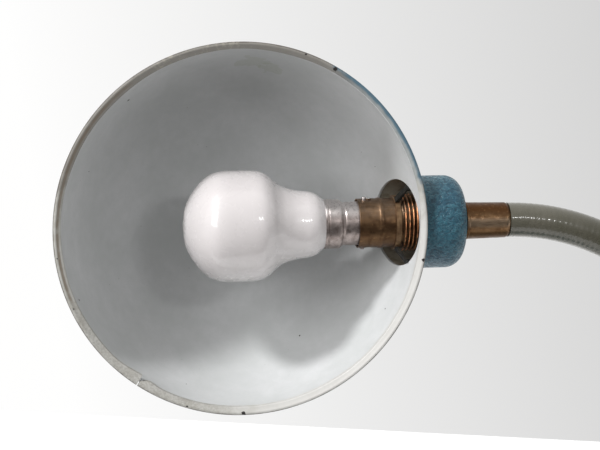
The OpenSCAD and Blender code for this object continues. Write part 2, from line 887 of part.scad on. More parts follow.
// Four-way terminal block on the base plate
module terminal_block() {
  color("#d8d2c2") difference() {
    translate([block_x - block_l / 2, -block_w / 2, floor_z]) cube([block_l, block_w, block_h]);
    for (way = ways) {
      translate([block_x - block_l / 2 - 1, way, way_z]) rotate([0, 90, 0])
        cylinder(r = 1.6, h = block_l + 2);
      for (side = [-1, 1]) translate([block_x + side * clamp_x, way, way_z])
        cylinder(r = 1.5, h = block_h);
    }
  }
}

module block_screws() {
  color("#b8924f") for (way = ways, side = [-1, 1])
    translate([block_x + side * clamp_x, way, floor_z + block_h])
      slotted_screw(2.2, 1.2, 1.5, 3.2);
}

// Two cores of the lamp flex, from the nipple to the middle ways of the terminal block
module lamp_cores() {
  color("#7a3b2c") for (side = [-1, 1]) wire([
    [0, side * 1.3, nipple_z - 1], [0, side * 1.3, nipple_z - 3], [2, side * 1.3, 13],
    [10, side * way_pitch / 2, way_z],
    [block_x - 8, side * way_pitch / 2, way_z]
  ], 1);
}

// Two wires from the switch's terminals to the outer ways of the terminal block
module switch_wires() {
  lane = 5.5;
  for (side = [-1, 1]) {
    tab_x = side * tab_reach * cos(slope_angle) + tab_drop * sin(slope_angle) - switch_r;
    tab_z = side * tab_reach * sin(slope_angle) - tab_drop * cos(slope_angle) + switch_z;
    color("#8f8b84") wire([
      [tab_x, 0, tab_z - 0.15], [tab_x, side, tab_z - 4], [-38, side * lane, wire_z],
      [20, side * lane, wire_z], [24, side * way_pitch * 1.5, way_z],
      [block_x - 8, side * way_pitch * 1.5, way_z]
    ], 1);
  }
}

// Inlet bush in the back of the cover
module inlet_bush() {
  inlet_l_out = 6;
  color("#1f1f20") translate([base_r, 0, inlet_z]) rotate([0, 90, 0]) difference() {
    union() {
      translate([0, 0, -8]) cylinder(r = inlet_body_r, h = 8 + inlet_l_out);
      cylinder(r = inlet_flange_r, h = 2.5);
    }
    translate([0, 0, -9]) cylinder(r = inlet_r, h = 16);
  }
}

// Earth screw, in the channel between the inlet and the terminal block
module earth_screw() {
  color("#b8924f") translate([earth_x, 0, floor_z]) slotted_screw(3, 2, earth_r, plate_t);
}

shade();
rim_trim();
collar();
holder_spider();
holder_barrel();
holder_cap();
holder_insulator();
holder_terminals();
holder_screws();
plunger(-1);  // plunger_a
plunger(1);  // plunger_b
plunger_spring(-1);  // plunger_spring_a
plunger_spring(1);  // plunger_spring_b
swivel_stud();
head_locknut();
head_flex();
bulb_glass();
bulb_cap();
bulb_insulator();
bulb_contacts();
bulb_stem();
bulb_filament();
head_ferrule();
swivel_screw();
swivel_washer();
coil_tip();
coil_root();
arm_sleeve();
arm_flex();
for (k = [1 : hinge_count - 1]) {
  coil_link(k);
}
base_ferrule();
base_nipple();
base_nut();
base_washer();
base_cover();
base_weight();
base_plate();
base_pad();
base_screws();
switch_body();
switch_terminals();
switch_bush();
switch_nut();
switch_lever();
terminal_block();
block_screws();
lamp_cores();
switch_wires();
inlet_bush();
earth_screw();
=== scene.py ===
"""Looks of the gooseneck examination lamp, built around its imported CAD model.

Metres, +Z up, in the CAD model's own frame. Shapes are drawn in millimetres in a local frame
and carried into place by that frame's matrix.
"""
import json
import math

import bmesh
import bpy
from mathutils import Matrix, Quaternion, Vector


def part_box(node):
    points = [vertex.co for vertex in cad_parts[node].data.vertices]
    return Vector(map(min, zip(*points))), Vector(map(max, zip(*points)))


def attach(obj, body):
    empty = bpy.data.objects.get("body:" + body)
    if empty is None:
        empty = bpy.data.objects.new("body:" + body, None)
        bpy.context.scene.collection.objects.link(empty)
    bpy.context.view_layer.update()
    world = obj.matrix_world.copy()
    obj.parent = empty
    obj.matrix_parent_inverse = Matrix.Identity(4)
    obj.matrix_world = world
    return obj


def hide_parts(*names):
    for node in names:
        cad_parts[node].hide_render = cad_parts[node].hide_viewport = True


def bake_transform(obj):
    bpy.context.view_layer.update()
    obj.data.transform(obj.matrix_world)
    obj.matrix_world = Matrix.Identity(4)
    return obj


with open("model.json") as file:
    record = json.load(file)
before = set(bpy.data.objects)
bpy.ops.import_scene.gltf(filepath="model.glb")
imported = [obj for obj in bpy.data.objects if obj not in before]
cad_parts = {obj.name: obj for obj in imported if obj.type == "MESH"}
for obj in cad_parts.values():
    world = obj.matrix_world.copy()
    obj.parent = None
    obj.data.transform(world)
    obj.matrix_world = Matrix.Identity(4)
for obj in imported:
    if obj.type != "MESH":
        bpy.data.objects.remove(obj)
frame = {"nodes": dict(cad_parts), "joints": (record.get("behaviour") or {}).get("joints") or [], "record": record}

scene = bpy.context.scene
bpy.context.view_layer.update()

MM = 0.001


# ---- places, from the CAD frame

def mid(node):
    """Middle of a CAD node's box."""
    low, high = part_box(node)
    return (low + high) / 2


trim_low, trim_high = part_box("rim_trim")
SHADE_R = (trim_high.x - trim_low.x) / 2 / MM
RIM_DEPTH = (trim_high.y - trim_low.y) / MM
SHADE_MID = Vector((mid("rim_trim").x, trim_low.y, mid("rim_trim").z))

# The barrel's mouth is this far along the lamp axis, in mm, and the axis is as high as the barrel
BARREL_MOUTH = 62.3
LAMP_MID = Vector((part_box("holder_barrel")[0].x - BARREL_MOUTH * MM, 0, mid("holder_barrel").z))

# In LAMP, +Z runs along the lamp axis, -X is up and +Y is back. In SHADE, +Z runs into the bowl.
TO_MM = Matrix.Scale(MM, 4)
LAMP = Matrix.Translation(LAMP_MID) @ Matrix.Rotation(math.pi / 2, 4, "Y") @ TO_MM
SHADE = Matrix.Translation(SHADE_MID) @ Matrix.Rotation(-math.pi / 2, 4, "X") @ TO_MM
UPRIGHT = TO_MM


def shifted(place, along):
    """Frame moved along its own +Z, in mm."""
    return place @ Matrix.Translation((0, 0, along))


def across(place, along, out=0):
    """Frame at a height along local Z and out from it, whose own +Z points outwards."""
    return place @ Matrix.Translation((out, 0, along)) @ Matrix.Rotation(math.pi / 2, 4, "Y")


def station(node, end):
    """Where a node begins (end 0) or ends (end 1) along the lamp axis, in mm from its start."""
    return (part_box(node)[end].x - LAMP_MID.x) / MM


def joint_place(name):
    """Where a joint's axis passes, in metres."""
    return Vector(next(j for j in frame["joints"] if j["name"] == name)["pos_m"])


# The arm has twelve hinges: the first half a pitch above its foot, the sixth where the bend starts
HINGES = 12
STRAIGHT_HINGES = 6
ARM_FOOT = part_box("base_ferrule")[1].z / MM
BEND_R = -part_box("head_ferrule")[1].x / MM
PITCH = 2 * (joint_place("arm_bend").z / MM - ARM_FOOT)
STRAIGHT_L = (STRAIGHT_HINGES - 0.5) * PITCH


def on_arm(s):
    """Frame at a length s along the arm, in mm: +Z along the arm, +X out of the bend."""
    if s <= STRAIGHT_L:
        return shifted(UPRIGHT, ARM_FOOT + s)
    angle = (s - STRAIGHT_L) / BEND_R
    to_centre = Matrix.Translation((-BEND_R, 0, ARM_FOOT + STRAIGHT_L))
    return UPRIGHT @ to_centre @ Matrix.Rotation(-angle, 4, "Y") @ Matrix.Translation((BEND_R, 0, 0))


# ---- camera

# The picture is taken from a little left of the shade's axis and a little above it. The offsets
# and distances are in metres, the lens and its sensor in millimetres.
VIEW_AZIMUTH = math.radians(-7.5)
VIEW_ELEVATION = math.radians(7.5)
VIEW_DISTANCE = 0.725
VIEW_RIGHT = 0.0273
VIEW_UP = 0.0030
VIEW_ROLL = math.radians(-0.37)
LENS = 90
SENSOR = 36
SIGHT = 20


def make_camera():
    """Camera that looks past the shade's middle, a little to its right."""
    back = Vector((
        math.sin(VIEW_AZIMUTH) * math.cos(VIEW_ELEVATION),
        -math.cos(VIEW_AZIMUTH) * math.cos(VIEW_ELEVATION),
        math.sin(VIEW_ELEVATION),
    ))
    right = Vector((math.cos(VIEW_AZIMUTH), math.sin(VIEW_AZIMUTH), 0))
    up = back.cross(right)
    camera = bpy.data.objects.new("camera", bpy.data.cameras.new("camera"))
    camera.data.sensor_width = SENSOR
    camera.data.lens = LENS
    camera.data.clip_end = SIGHT
    camera.location = SHADE_MID + back * VIEW_DISTANCE + right * VIEW_RIGHT + up * VIEW_UP
    camera.rotation_mode = "QUATERNION"
    camera.rotation_quaternion = back.to_track_quat("Z", "Y") @ Quaternion((0, 0, 1), VIEW_ROLL)
    scene.collection.objects.link(camera)
    scene.camera = camera


make_camera()
scene.view_settings.view_transform = "Standard"


# ---- finishes

def linear(*rgb):
    """Linear colour from 0-255 display values."""
    out = []
    for value in rgb:
        v = value / 255
        out.append(v / 12.92 if v <= 0.04045 else ((v + 0.055) / 1.055) ** 2.4)
    return (*out, 1)


class Finish:
    """A procedural material: nodes around one Principled shader, in the object's own coordinates."""

    def __init__(self, name, rough=0.5, metal=0.0, **sockets):
        self.material = bpy.data.materials.new(name)
        self.material.use_nodes = True
        self.tree = self.material.node_tree
        self.shader = self.tree.nodes["Principled BSDF"]
        self.place = self.add("TexCoord").outputs["Object"]
        self.set("Roughness", rough)
        self.set("Metallic", metal)
        for socket, value in sockets.items():
            self.set(socket.replace("_", " "), value)

    def add(self, kind, feeds=(), **settings):
        """New node, with its settings and the values or links fed to its inputs."""
        node = self.tree.nodes.new("ShaderNode" + kind)
        for key, value in settings.items():
            setattr(node, key, value)
        for key, value in dict(feeds).items():
            self.feed(node.inputs[key], value)
        return node

    def feed(self, socket, value):
        if isinstance(value, bpy.types.NodeSocket):
            self.tree.links.new(value, socket)
        else:
            socket.default_value = value

    def set(self, name, value):
        self.feed(self.shader.inputs[name], value)

    def paint(self, colour):
        self.set("Base Color", colour)

    def math(self, operation, a, b=0.0):
        node = self.add("Math", {0: a, 1: b}, operation=operation)
        return node.outputs[0]

    def times(self, a, b):
        return self.math("MULTIPLY", a, b)

    def stretched(self, scale):
        """The object's coordinates, scaled along each axis."""
        return self.add("Mapping", {"Vector": self.place, "Scale": scale}).outputs[0]

    def noise(self, size, detail=3.0, rough=0.5, distort=0.0, stretch=None):
        """Noise with lumps about size mm across, from 0 to 1."""
        place = self.stretched(stretch) if stretch else self.place
        feeds = {"Vector": place, "Scale": 1 / (size * MM), "Detail": detail,
                 "Roughness": rough, "Distortion": distort}
        return self.add("TexNoise", feeds).outputs["Fac"]

    def cells(self, size):
        """Distance to cells about size mm across, from 0 at their middles."""
        feeds = {"Vector": self.place, "Scale": 1 / (size * MM)}
        return self.add("TexVoronoi", feeds).outputs["Distance"]

    def ramp(self, value, low, high, start=0.0, end=1.0):
        """value from low..high onto start..end, smoothly and clamped."""
        feeds = {"Value": value, "From Min": low, "From Max": high, "To Min": start, "To Max": end}
        return self.add("MapRange", feeds, interpolation_type="SMOOTHSTEP").outputs[0]

    def cloud(self, low, high, *noise, **more):
        """Noise from low..high onto 0..1: patches with soft edges."""
        return self.ramp(self.noise(*noise, **more), low, high)

    def mix(self, share, first, second):
        node = self.add("Mix", {0: share, 6: first, 7: second}, data_type="RGBA")
        return node.outputs[2]

    def between(self, share, first, second):
        """Colour between two display colours."""
        return self.mix(share, linear(*first), linear(*second))

    def tint(self, colour, share, rgb, amount=None):
        """colour, with a display colour mixed in by share, or by share times amount."""
        if amount is not None:
            share = self.times(share, amount)
        return self.mix(share, colour, linear(*rgb))

    def sheen(self, size, low, high, detail=4.0):
        """Roughness that varies from low to high in patches about size mm across."""
        self.set("Roughness", self.ramp(self.noise(size, detail), 0.3, 0.7, low, high))

    def bump(self, height, depth, strength=1.0):
        """Bumps depth mm high, on top of any the shader has."""
        feeds = {"Height": height, "Distance": depth * MM, "Strength": strength}
        node = self.add("Bump", feeds)
        earlier = self.shader.inputs["Normal"].links
        if earlier:
            self.feed(node.inputs["Normal"], earlier[0].from_socket)
        self.set("Normal", node.outputs[0])

    def near(self, point, reach, ragged=0.5, size=1.5):
        """1 within about reach mm of a place, 0 outside, with a ragged edge."""
        away = self.add("VectorMath", {0: self.place, 1: point}, operation="DISTANCE")
        lump = ragged * reach * MM
        lumps = self.ramp(self.noise(size, 2), 0, 1, -lump, lump)
        edge = reach * MM
        return self.ramp(self.math("ADD", away.outputs["Value"], lumps), edge, edge * 0.8)

    def spots(self, marks, ragged=0.5, size=1.5):
        """1 within reach of any of the (place, reach) marks."""
        spots = [self.near(place, reach, ragged, size) for place, reach in marks]
        together = spots[0]
        for spot in spots[1:]:
            together = self.math("MAXIMUM", together, spot)
        return together

    def off_axis(self, point, keep):
        """Distance in mm from a line through point, and the way there in metres.

        keep is 1 across the line and 0 along it.
        """
        to_here = self.add("VectorMath", {0: self.place, 1: point}, operation="SUBTRACT").outputs[0]
        flat = self.add("VectorMath", {0: to_here, 1: keep}, operation="MULTIPLY").outputs[0]
        length = self.add("VectorMath", {0: flat}, operation="LENGTH").outputs["Value"]
        return self.math("DIVIDE", length, MM), flat

    def round_lamp_axis(self):
        """Distance in mm from the lamp axis, and height in mm above it."""
        radius, flat = self.off_axis(LAMP_MID, (0, 1, 1))
        return radius, self.math("DIVIDE", self.add("SeparateXYZ", {0: flat}).outputs["Z"], MM)


WALL = 1.0
bowl_low, bowl_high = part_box("shade")
BOWL_R = (bowl_high.x - bowl_low.x) / 2 / MM


def round_shade(turn, radius, depth):
    """Place round the shade's axis: degrees from +X towards +Z, and mm out and behind the mouth."""
    a = math.radians(turn)
    return SHADE_MID + Vector((radius * math.cos(a), depth, radius * math.sin(a))) * MM


def on_bowl(turn, depth):
    """Place on the bowl's inner face."""
    return round_shade(turn, math.sqrt((BOWL_R - WALL) ** 2 - depth ** 2), depth)


def on_rim(turn, inset):
    """Place on the trim: degrees from +X towards +Z, and mm in from its outer edge."""
    return round_shade(turn, SHADE_R - inset, 0)


def crinkle_blue():
    """Blue crinkle paint: leathery wrinkles, with a painted highlight on their tops and painted shade in their
    creases, worn and dusty in places.
    """
    f = Finish("crinkle_blue")
    puckers = f.noise(1.9, 3, 0.6, 0.7, (1, 1, 1.5))
    creases = f.noise(1.1, 3, 0.6, 0.4)
    patches = f.cloud(0.35, 0.68, 16, 3)
    colour = f.between(patches, (29, 77, 97), (37, 87, 104))
    # Painted highlight on the tops of the wrinkles, and painted shade in their creases
    colour = f.tint(colour, f.ramp(puckers, 0.5, 0.62), (66, 115, 129), 0.6)
    colour = f.tint(colour, f.ramp(puckers, 0.47, 0.38), (18, 54, 70), 0.7)
    dust = f.times(f.cloud(0.68, 0.75, 0.7, 2), f.cloud(0.45, 0.62, 9, 2))
    f.paint(f.tint(colour, dust, (150, 168, 170), 0.45))
    f.set("Roughness", f.ramp(puckers, 0.4, 0.65, 0.5, 0.26))
    f.bump(puckers, 0.9)
    f.bump(creases, 0.3, 0.6)
    return f.material


# Chips and smudges in the bowl: degrees from +X towards +Z, mm behind the mouth, mm of reach
CHIPS = [(130.6, 31.2, 0.75), (203.0, 15.4, 0.7), (329.1, 20.3, 0.45), (298.2, 51.5, 0.4),
         (20.0, 42.6, 0.4), (251.0, 24.0, 0.3), (160.0, 40.0, 0.3)]
SMUDGES = [(84.0, 33.0, 8.0), (77.0, 38.0, 6.0)]


def shade_paint():
    """Aged off-white paint inside the bowl: mottled, with chips to the steel and an old smudge."""
    f = Finish("shade_paint", Specular_IOR_Level=0.35)
    broad = f.cloud(0.3, 0.7, 34, 4, 0.6)
    fine = f.cloud(0.3, 0.72, 5, 5, 0.65)
    colour = f.between(broad, (201, 203, 203), (212, 213, 214))
    colour = f.tint(colour, fine, (194, 197, 196), 0.35)
    for turn, depth, reach in SMUDGES:
        smear = f.near(on_bowl(turn, depth), reach, 0.9, 5)
        colour = f.tint(colour, smear, (166, 172, 152), 0.28)
    specks = f.times(f.ramp(f.cells(6.5), 0.045, 0.03), f.cloud(0.5, 0.6, 22, 2))
    colour = f.tint(colour, specks, (120, 116, 108), 0.55)
    chipped = f.spots([(on_bowl(turn, depth), reach) for turn, depth, reach in CHIPS])
    f.paint(f.tint(colour, chipped, (44, 42, 42)))
    f.sheen(12, 0.42, 0.58)
    f.bump(f.noise(2.2, 3), 0.05, 0.35)
    f.bump(chipped, -0.12)
    return f.material


# Chips on the trim: degrees round, mm in from its outer edge, mm of reach
RIM_CHIPS = [(269.4, 1.0, 1.1), (69.9, 0.8, 0.6), (59.8, 1.4, 1.2), (349.6, 0.9, 0.9),
             (251.5, 1.1, 0.45), (203.4, 1.8, 0.5), (187.0, 1.3, 0.35)]
# Stretches of the darker top that are rubbed bright: degrees round, mm of reach
BRIGHT_WORN = [(96, 12), (113, 9)]


def rim_paint():
    """Trim paint: warm off-white, lighter at the lower right and darker along the top, partly from the paint and
    partly as painted light and shade; brown in the groove at the left and dark on the bead's outer edge, partly as
    painted shade; blue where it was oversprayed.
    """
    f = Finish("rim_paint", rough=0.45, Specular_IOR_Level=0.4)
    radius, flat = f.off_axis(SHADE_MID, (1, 0, 1))
    inset = f.math("SUBTRACT", SHADE_R, radius)
    split = f.add("SeparateXYZ", {0: flat})
    turn = f.math("DEGREES", f.math("ARCTAN2", split.outputs["Z"], split.outputs["X"]))
    ragged = f.ramp(f.noise(7, 4), 0.3, 0.7, -1, 1)
    rough_turn = f.math("ADD", turn, f.times(ragged, 5.0))

    patchy = f.cloud(0.32, 0.7, 4, 4, 0.6)
    colour = f.between(patchy, (188, 187, 182), (172, 170, 163))
    # Lighter at the lower right: partly fresher paint, partly painted light where the band faces the key light
    fresher_paint_and_light = f.times(f.ramp(rough_turn, -100, -80), f.ramp(rough_turn, 14, 0))
    colour = f.tint(colour, fresher_paint_and_light, (208, 207, 204), 0.8)
    # Darker along the top: partly brown, worn paint, partly painted shade
    upper = f.times(f.ramp(rough_turn, 42, 66), f.ramp(rough_turn, 178, 158))
    colour = f.tint(colour, upper, (132, 128, 122), 0.85)
    lower = f.times(f.ramp(turn, -170, -150), f.ramp(turn, -85, -110))
    speckled = f.times(f.cloud(0.4, 0.62, 1.1, 4, 0.7), 0.6)
    colour = f.tint(colour, f.times(lower, speckled), (146, 143, 136))

    # Brown in the groove at the left: partly grime, partly painted shade in the recess
    left = f.math("MAXIMUM", f.ramp(rough_turn, 118, 140), f.ramp(rough_turn, -150, -165))
    groove = f.times(f.ramp(inset, 1.3, 1.9), f.ramp(inset, 3.2, 2.5))
    grime_and_shade_in_groove = f.times(f.times(left, groove), f.ramp(f.noise(9, 4), 0.3, 0.5, 0.5, 1.0))
    colour = f.tint(colour, grime_and_shade_in_groove, (122, 106, 88), 0.7)
    # Dark outer edge of the bead: partly dirt, partly painted shade where the bead turns away from the light
    outside = f.ramp(f.math("ADD", inset, f.times(ragged, 0.15)), 0.75, 0.2)
    colour = f.tint(colour, outside, (74, 68, 62), 0.85)

    from_middle = f.math("ABSOLUTE", f.math("SUBTRACT", turn, 36.0))
    spray = f.ramp(f.math("ADD", from_middle, f.times(ragged, 4.0)), 27, 18)
    thick = f.ramp(f.math("ADD", inset, f.times(ragged, 0.3)), 2.4, 1.0, 0.3, 0.9)
    colour = f.tint(colour, f.times(spray, thick), (64, 102, 122))
    for at, reach in BRIGHT_WORN:
        worn = f.times(f.near(on_rim(at, 1), reach, 0.8, 2), f.cloud(0.5, 0.6, 1.6))
        colour = f.tint(colour, worn, (176, 172, 158), 0.4)
    chipped = f.spots([(on_rim(at, inset_mm), reach) for at, inset_mm, reach in RIM_CHIPS], 0.6, 0.8)
    f.paint(f.tint(colour, chipped, (40, 37, 36)))
    f.bump(f.noise(1.8, 3), 0.06, 0.5)
    f.bump(chipped, -0.15)
    return f.material


def aged_brass():
    """Brass gone brown: patina in clouds, bare gold where it is rubbed, darker in the hollows; on the head ferrule
    painted shade at top and bottom and a painted highlight band across the middle, and on the barrel a painted
    reflection that lightens its top.
    """
    f = Finish("aged_brass", metal=1.0)
    clouds = f.cloud(0.32, 0.68, 5.5, 5, 0.62, 0.8)
    spots = f.cloud(0.56, 0.7, 1.3, 4, 0.6)
    streaks = f.cloud(0.35, 0.7, 1.0, 3, 0.6, stretch=(0.12, 1, 1))
    radius, height = f.round_lamp_axis()
    on_head = f.ramp(radius, 20, 18)
    on_barrel = f.times(f.ramp(radius, 10.2, 10.8), on_head)
    far = f.ramp(radius, 30, 40)

    plain = f.between(clouds, (98, 72, 50), (134, 106, 78))
    # Painted shade along the head ferrule's top and bottom, and a painted highlight band across its middle
    ferrule = f.tint(plain, f.ramp(height, 2.5, 7.0), (88, 58, 34))
    ferrule = f.tint(ferrule, f.ramp(height, -3.0, -6.5), (84, 60, 34))
    across = f.times(f.ramp(height, -3.5, -1.0), f.ramp(height, 3.0, 0.5))
    ferrule = f.tint(ferrule, across, (168, 148, 126), 0.7)
    ferrule = f.mix(far, ferrule, plain)

    # Painted reflection: the barrel is painted lighter and paler towards its top
    barrel = f.between(f.ramp(height, 1.0, 9.0), (88, 66, 48), (132, 112, 94))
    barrel = f.tint(barrel, clouds, (124, 98, 72), 0.6)
    colour = f.mix(on_barrel, ferrule, barrel)
    colour = f.tint(colour, streaks, (84, 58, 38), 0.35)
    colour = f.tint(colour, spots, (168, 128, 88), 0.3)
    crest = f.times(f.ramp(radius, 14.0, 14.4), f.cloud(0.34, 0.6, 2.4, 3))
    f.paint(f.tint(colour, f.times(crest, on_head), (232, 160, 112), 0.8))
    f.sheen(3, 0.32, 0.5)
    f.bump(f.noise(0.9, 4), 0.015, 0.5)
    f.bump(f.noise(6, 2), 0.08, 0.3)
    return f.material


def cap_metal():
    """The bulb's cap: dull pressed alloy with fine turned rings, stains and light scratches, painted lighter
    towards its top as a painted highlight.
    """
    f = Finish("cap_metal", metal=1.0)
    rings = f.noise(0.55, 2, 0.5, stretch=(1, 0.02, 0.02))
    stain = f.cloud(0.36, 0.7, 4.5, 5, 0.65, 0.6)
    _, height = f.round_lamp_axis()
    colour = f.between(stain, (180, 168, 164), (136, 124, 120))
    # Painted highlight: lighter towards the top
    colour = f.tint(colour, f.ramp(height, 3, 8), (236, 230, 228), 0.8)
    dull = f.cloud(0.5, 0.72, 1.2, 4)
    f.paint(f.tint(colour, dull, (120, 110, 104), 0.45))
    f.sheen(2.5, 0.28, 0.46)
    f.bump(rings, 0.05, 0.8)
    f.bump(f.noise(2, 3), 0.05, 0.4)
    return f.material


def opal_glass():
    """Opal bulb: white inside a clear, slightly rippled skin, with a little dust."""
    f = Finish("opal_glass", Coat_Weight=1.0, Coat_Roughness=0.03)
    cloud = f.cloud(0.25, 0.75, 24, 2)
    colour = f.between(cloud, (224, 219, 219), (217, 212, 212))
    dust = f.times(f.ramp(f.cells(3.2), 0.05, 0.035), f.cloud(0.56, 0.64, 9))
    f.paint(f.tint(colour, dust, (176, 170, 164), 0.3))
    f.sheen(6, 0.24, 0.3, 3.0)
    f.bump(f.noise(30, 1), 0.05, 0.1)
    return f.material


def sleeve_plastic():
    """Grey-green plastic sleeve: soft sheen, faint waves over the coil, grime along it, painted shade towards the
    base.
    """
    f = Finish("sleeve_plastic", Coat_Weight=0.6, Coat_Roughness=0.07)
    cloud = f.cloud(0.3, 0.7, 18, 4, 0.6)
    fine = f.cloud(0.35, 0.7, 2.4, 4)
    colour = f.between(cloud, (80, 78, 66), (90, 87, 76))
    colour = f.tint(colour, fine, (78, 76, 62), 0.35)
    along = f.add("SeparateXYZ", {0: f.place}).outputs["X"]
    # Painted shade: darker beyond x = -0.07 m, along the bend towards the base
    shade_towards_base = f.ramp(along, -0.1, -0.07)
    colour = f.tint(colour, shade_towards_base, (68, 66, 54), 0.55)
    grime = f.cloud(0.58, 0.75, 6, 5, 0.65, 1.0)
    f.paint(f.tint(colour, grime, (66, 62, 52), 0.4))
    f.sheen(3.5, 0.2, 0.36)
    f.bump(f.noise(5, 2), 0.22, 0.5)
    f.bump(f.noise(0.8, 3), 0.03, 0.5)
    return f.material


def even(name, base, worn, rough, metal=0.0, size=4.0, depth=0.04, **sockets):
    """A plain finish with patches of wear, a varying sheen and a fine grain."""
    f = Finish(name, metal=metal, **sockets)
    patches = f.cloud(0.34, 0.7, size, 4, 0.6, 0.4)
    f.paint(f.between(patches, base, worn))
    f.sheen(size * 0.7, rough * 0.8, min(1.0, rough * 1.25))
    f.bump(f.noise(size * 0.25, 3), depth, 0.6)
    return f.material


def spider_metal():
    """Spider: brass where its ring hugs the barrel, dull dark steel on its arms."""
    f = Finish("spider_metal", metal=0.8)
    radius, _ = f.round_lamp_axis()
    patches = f.cloud(0.35, 0.68, 3, 4)
    brass = f.between(patches, (104, 80, 58), (134, 108, 80))
    steel = f.between(patches, (36, 36, 34), (56, 52, 46))
    f.paint(f.mix(f.ramp(radius, 13.9, 14.3), brass, steel))
    f.sheen(2, 0.4, 0.6, 3.0)
    f.bump(f.noise(0.9), 0.04, 0.6)
    return f.material


# Name, base colour, worn colour, roughness, and where they differ metal, patch size and grain
EVEN_FINISHES = (
    ("plain_brass", (196, 158, 92), (150, 112, 60), 0.32, 1.0),
    ("dark_steel", (58, 54, 50), (88, 74, 60), 0.5, 0.8),
    ("spring_steel", (150, 150, 148), (104, 102, 98), 0.34, 1.0, 3),
    ("zinc_steel", (176, 176, 172), (138, 136, 128), 0.38, 1.0),
    ("nickel", (206, 200, 188), (160, 152, 138), 0.2, 1.0, 6, 0.02),
    ("porcelain", (232, 226, 212), (216, 208, 190), 0.18, 0, 8, 0.05),
    ("black_glass", (26, 24, 24), (48, 42, 40), 0.16, 0, 3),
    ("solder", (188, 188, 184), (140, 138, 132), 0.34, 1.0, 1.5, 0.12),
    ("tungsten", (92, 92, 96), (64, 62, 66), 0.45, 1.0, 1.0),
    ("flex_rubber", (40, 39, 38), (62, 58, 54), 0.6, 0, 5, 0.06),
    ("core_plastic", (146, 62, 44), (116, 48, 36), 0.36, 0, 5),
    ("fibre", (118, 74, 50), (84, 50, 34), 0.8, 0, 1.6, 0.1),
    ("black_iron", (46, 47, 48), (74, 62, 54), 0.66, 0.2, 5, 0.25),
    ("pad_rubber", (38, 39, 40), (66, 64, 62), 0.72, 0, 7, 0.12),
    ("bare_inside", (158, 152, 138), (124, 116, 100), 0.7, 0, 6),
    ("bakelite", (42, 34, 30), (60, 48, 40), 0.3, 0, 6, 0.05),
)
FINISHES = {row[0]: even(*row) for row in EVEN_FINISHES}
FINISHES["clear_glass"] = even("clear_glass", (236, 242, 242), (228, 236, 236), 0.06, 0, 9, 0.02,
                               Transmission_Weight=1.0, IOR=1.5)
FINISHES.update(
    shade_paint=shade_paint(),
    rim_paint=rim_paint(),
    crinkle_blue=crinkle_blue(),
    aged_brass=aged_brass(),
    cap_metal=cap_metal(),
    opal_glass=opal_glass(),
    sleeve_plastic=sleeve_plastic(),
    spider_metal=spider_metal(),
)
SLOTS = {part["node"]: part["material_slot"] for part in frame["record"]["subparts"]}


def dress(piece, *slots):
    piece.data.materials.clear()
    for slot in slots:
        piece.data.materials.append(FINISHES[slot])


for node, cad_object in frame["nodes"].items():
    dress(cad_object, "spider_metal" if node == "holder_spider" else SLOTS[node])


# ---- shape tools

SHARP = math.radians(32)


def shade_smooth(bm):
    """Smooth shading, with the sharp edges kept."""
    for face in bm.faces:
        face.smooth = True
    for edge in bm.edges:
        edge.smooth = not (len(edge.link_faces) == 2 and edge.calc_face_angle() > SHARP)


def make_piece(name, bm, place):
    """Object from a bmesh drawn in a local frame, smooth except at its sharp edges."""
    bmesh.ops.recalc_face_normals(bm, faces=bm.faces)
    shade_smooth(bm)
    mesh = bpy.data.meshes.new(name)
    bm.to_mesh(mesh)
    bm.free()
    mesh.transform(place)
    piece = bpy.data.objects.new(name, mesh)
    scene.collection.objects.link(piece)
    return piece


def bridge(bm, first, second):
    """Faces between two rings of points, either of which may be a single point."""
    if len(first) == 1 and len(second) == 1:
        return
    sides = max(len(first), len(second))
    for i in range(sides):
        j = (i + 1) % sides
        corners = []
        for ring, at in ((first, i), (first, j), (second, j), (second, i)):
            vert = ring[at % len(ring)]
            if vert not in corners:
                corners.append(vert)
        bm.faces.new(corners)


def turns(sides):
    """Angles of a ring's points."""
    return [2 * math.pi * i / sides for i in range(sides)]


def point(bm, radius, turn, height):
    return bm.verts.new((radius * math.cos(turn), radius * math.sin(turn), height))


def stitch(bm, rings):
    """Faces between each ring and the next."""
    for first, second in zip(rings, rings[1:]):
        bridge(bm, first, second)


def stitch_and_cap(bm, rings):
    """Faces between each ring and the next, and over both ends."""
    stitch(bm, rings)
    bm.faces.new(rings[0])
    bm.faces.new(rings[-1])


def ring_of(bm, radius, height, sides, warp=None):
    """Ring of points; warp(radius, turn, height) may move each one outwards."""
    if radius < 1e-6:
        return [bm.verts.new((0, 0, height))]
    points = []
    for turn in turns(sides):
        r = radius + (warp(radius, turn, height) if warp else 0)
        points.append(point(bm, r, turn, height))
    return points


def lathe(name, outline, place, sides=96, warp=None):
    """Solid turned round local Z from a closed outline of (radius, height) points."""
    bm = bmesh.new()
    rings = [ring_of(bm, radius, height, sides, warp) for radius, height in outline]
    stitch(bm, rings + rings[:1])
    return make_piece(name, bm, place)


def rounded(corners, steps=4):
    """Closed outline through (radius, height, fillet) corners, with each one rounded off."""
    outline = []
    for i, (x, y, fillet) in enumerate(corners):
        here = Vector((x, y))
        before = Vector(corners[i - 1][:2]) - here
        after = Vector(corners[(i + 1) % len(corners)][:2]) - here
        if fillet <= 0:
            outline.append((x, y))
            continue
        half = before.angle(after) / 2
        reach = min(fillet / math.tan(half), before.length * 0.49, after.length * 0.49)
        radius = reach * math.tan(half)
        before.normalize()
        after.normalize()
        middle = here + (before + after).normalized() * radius / math.sin(half)
        arm = here + before * reach - middle
        sweep = arm.angle_signed(here + after * reach - middle)
        for k in range(steps + 1):
            turn = Matrix.Rotation(-sweep * k / steps, 2)
            outline.append(tuple(middle + turn @ arm))
    return outline


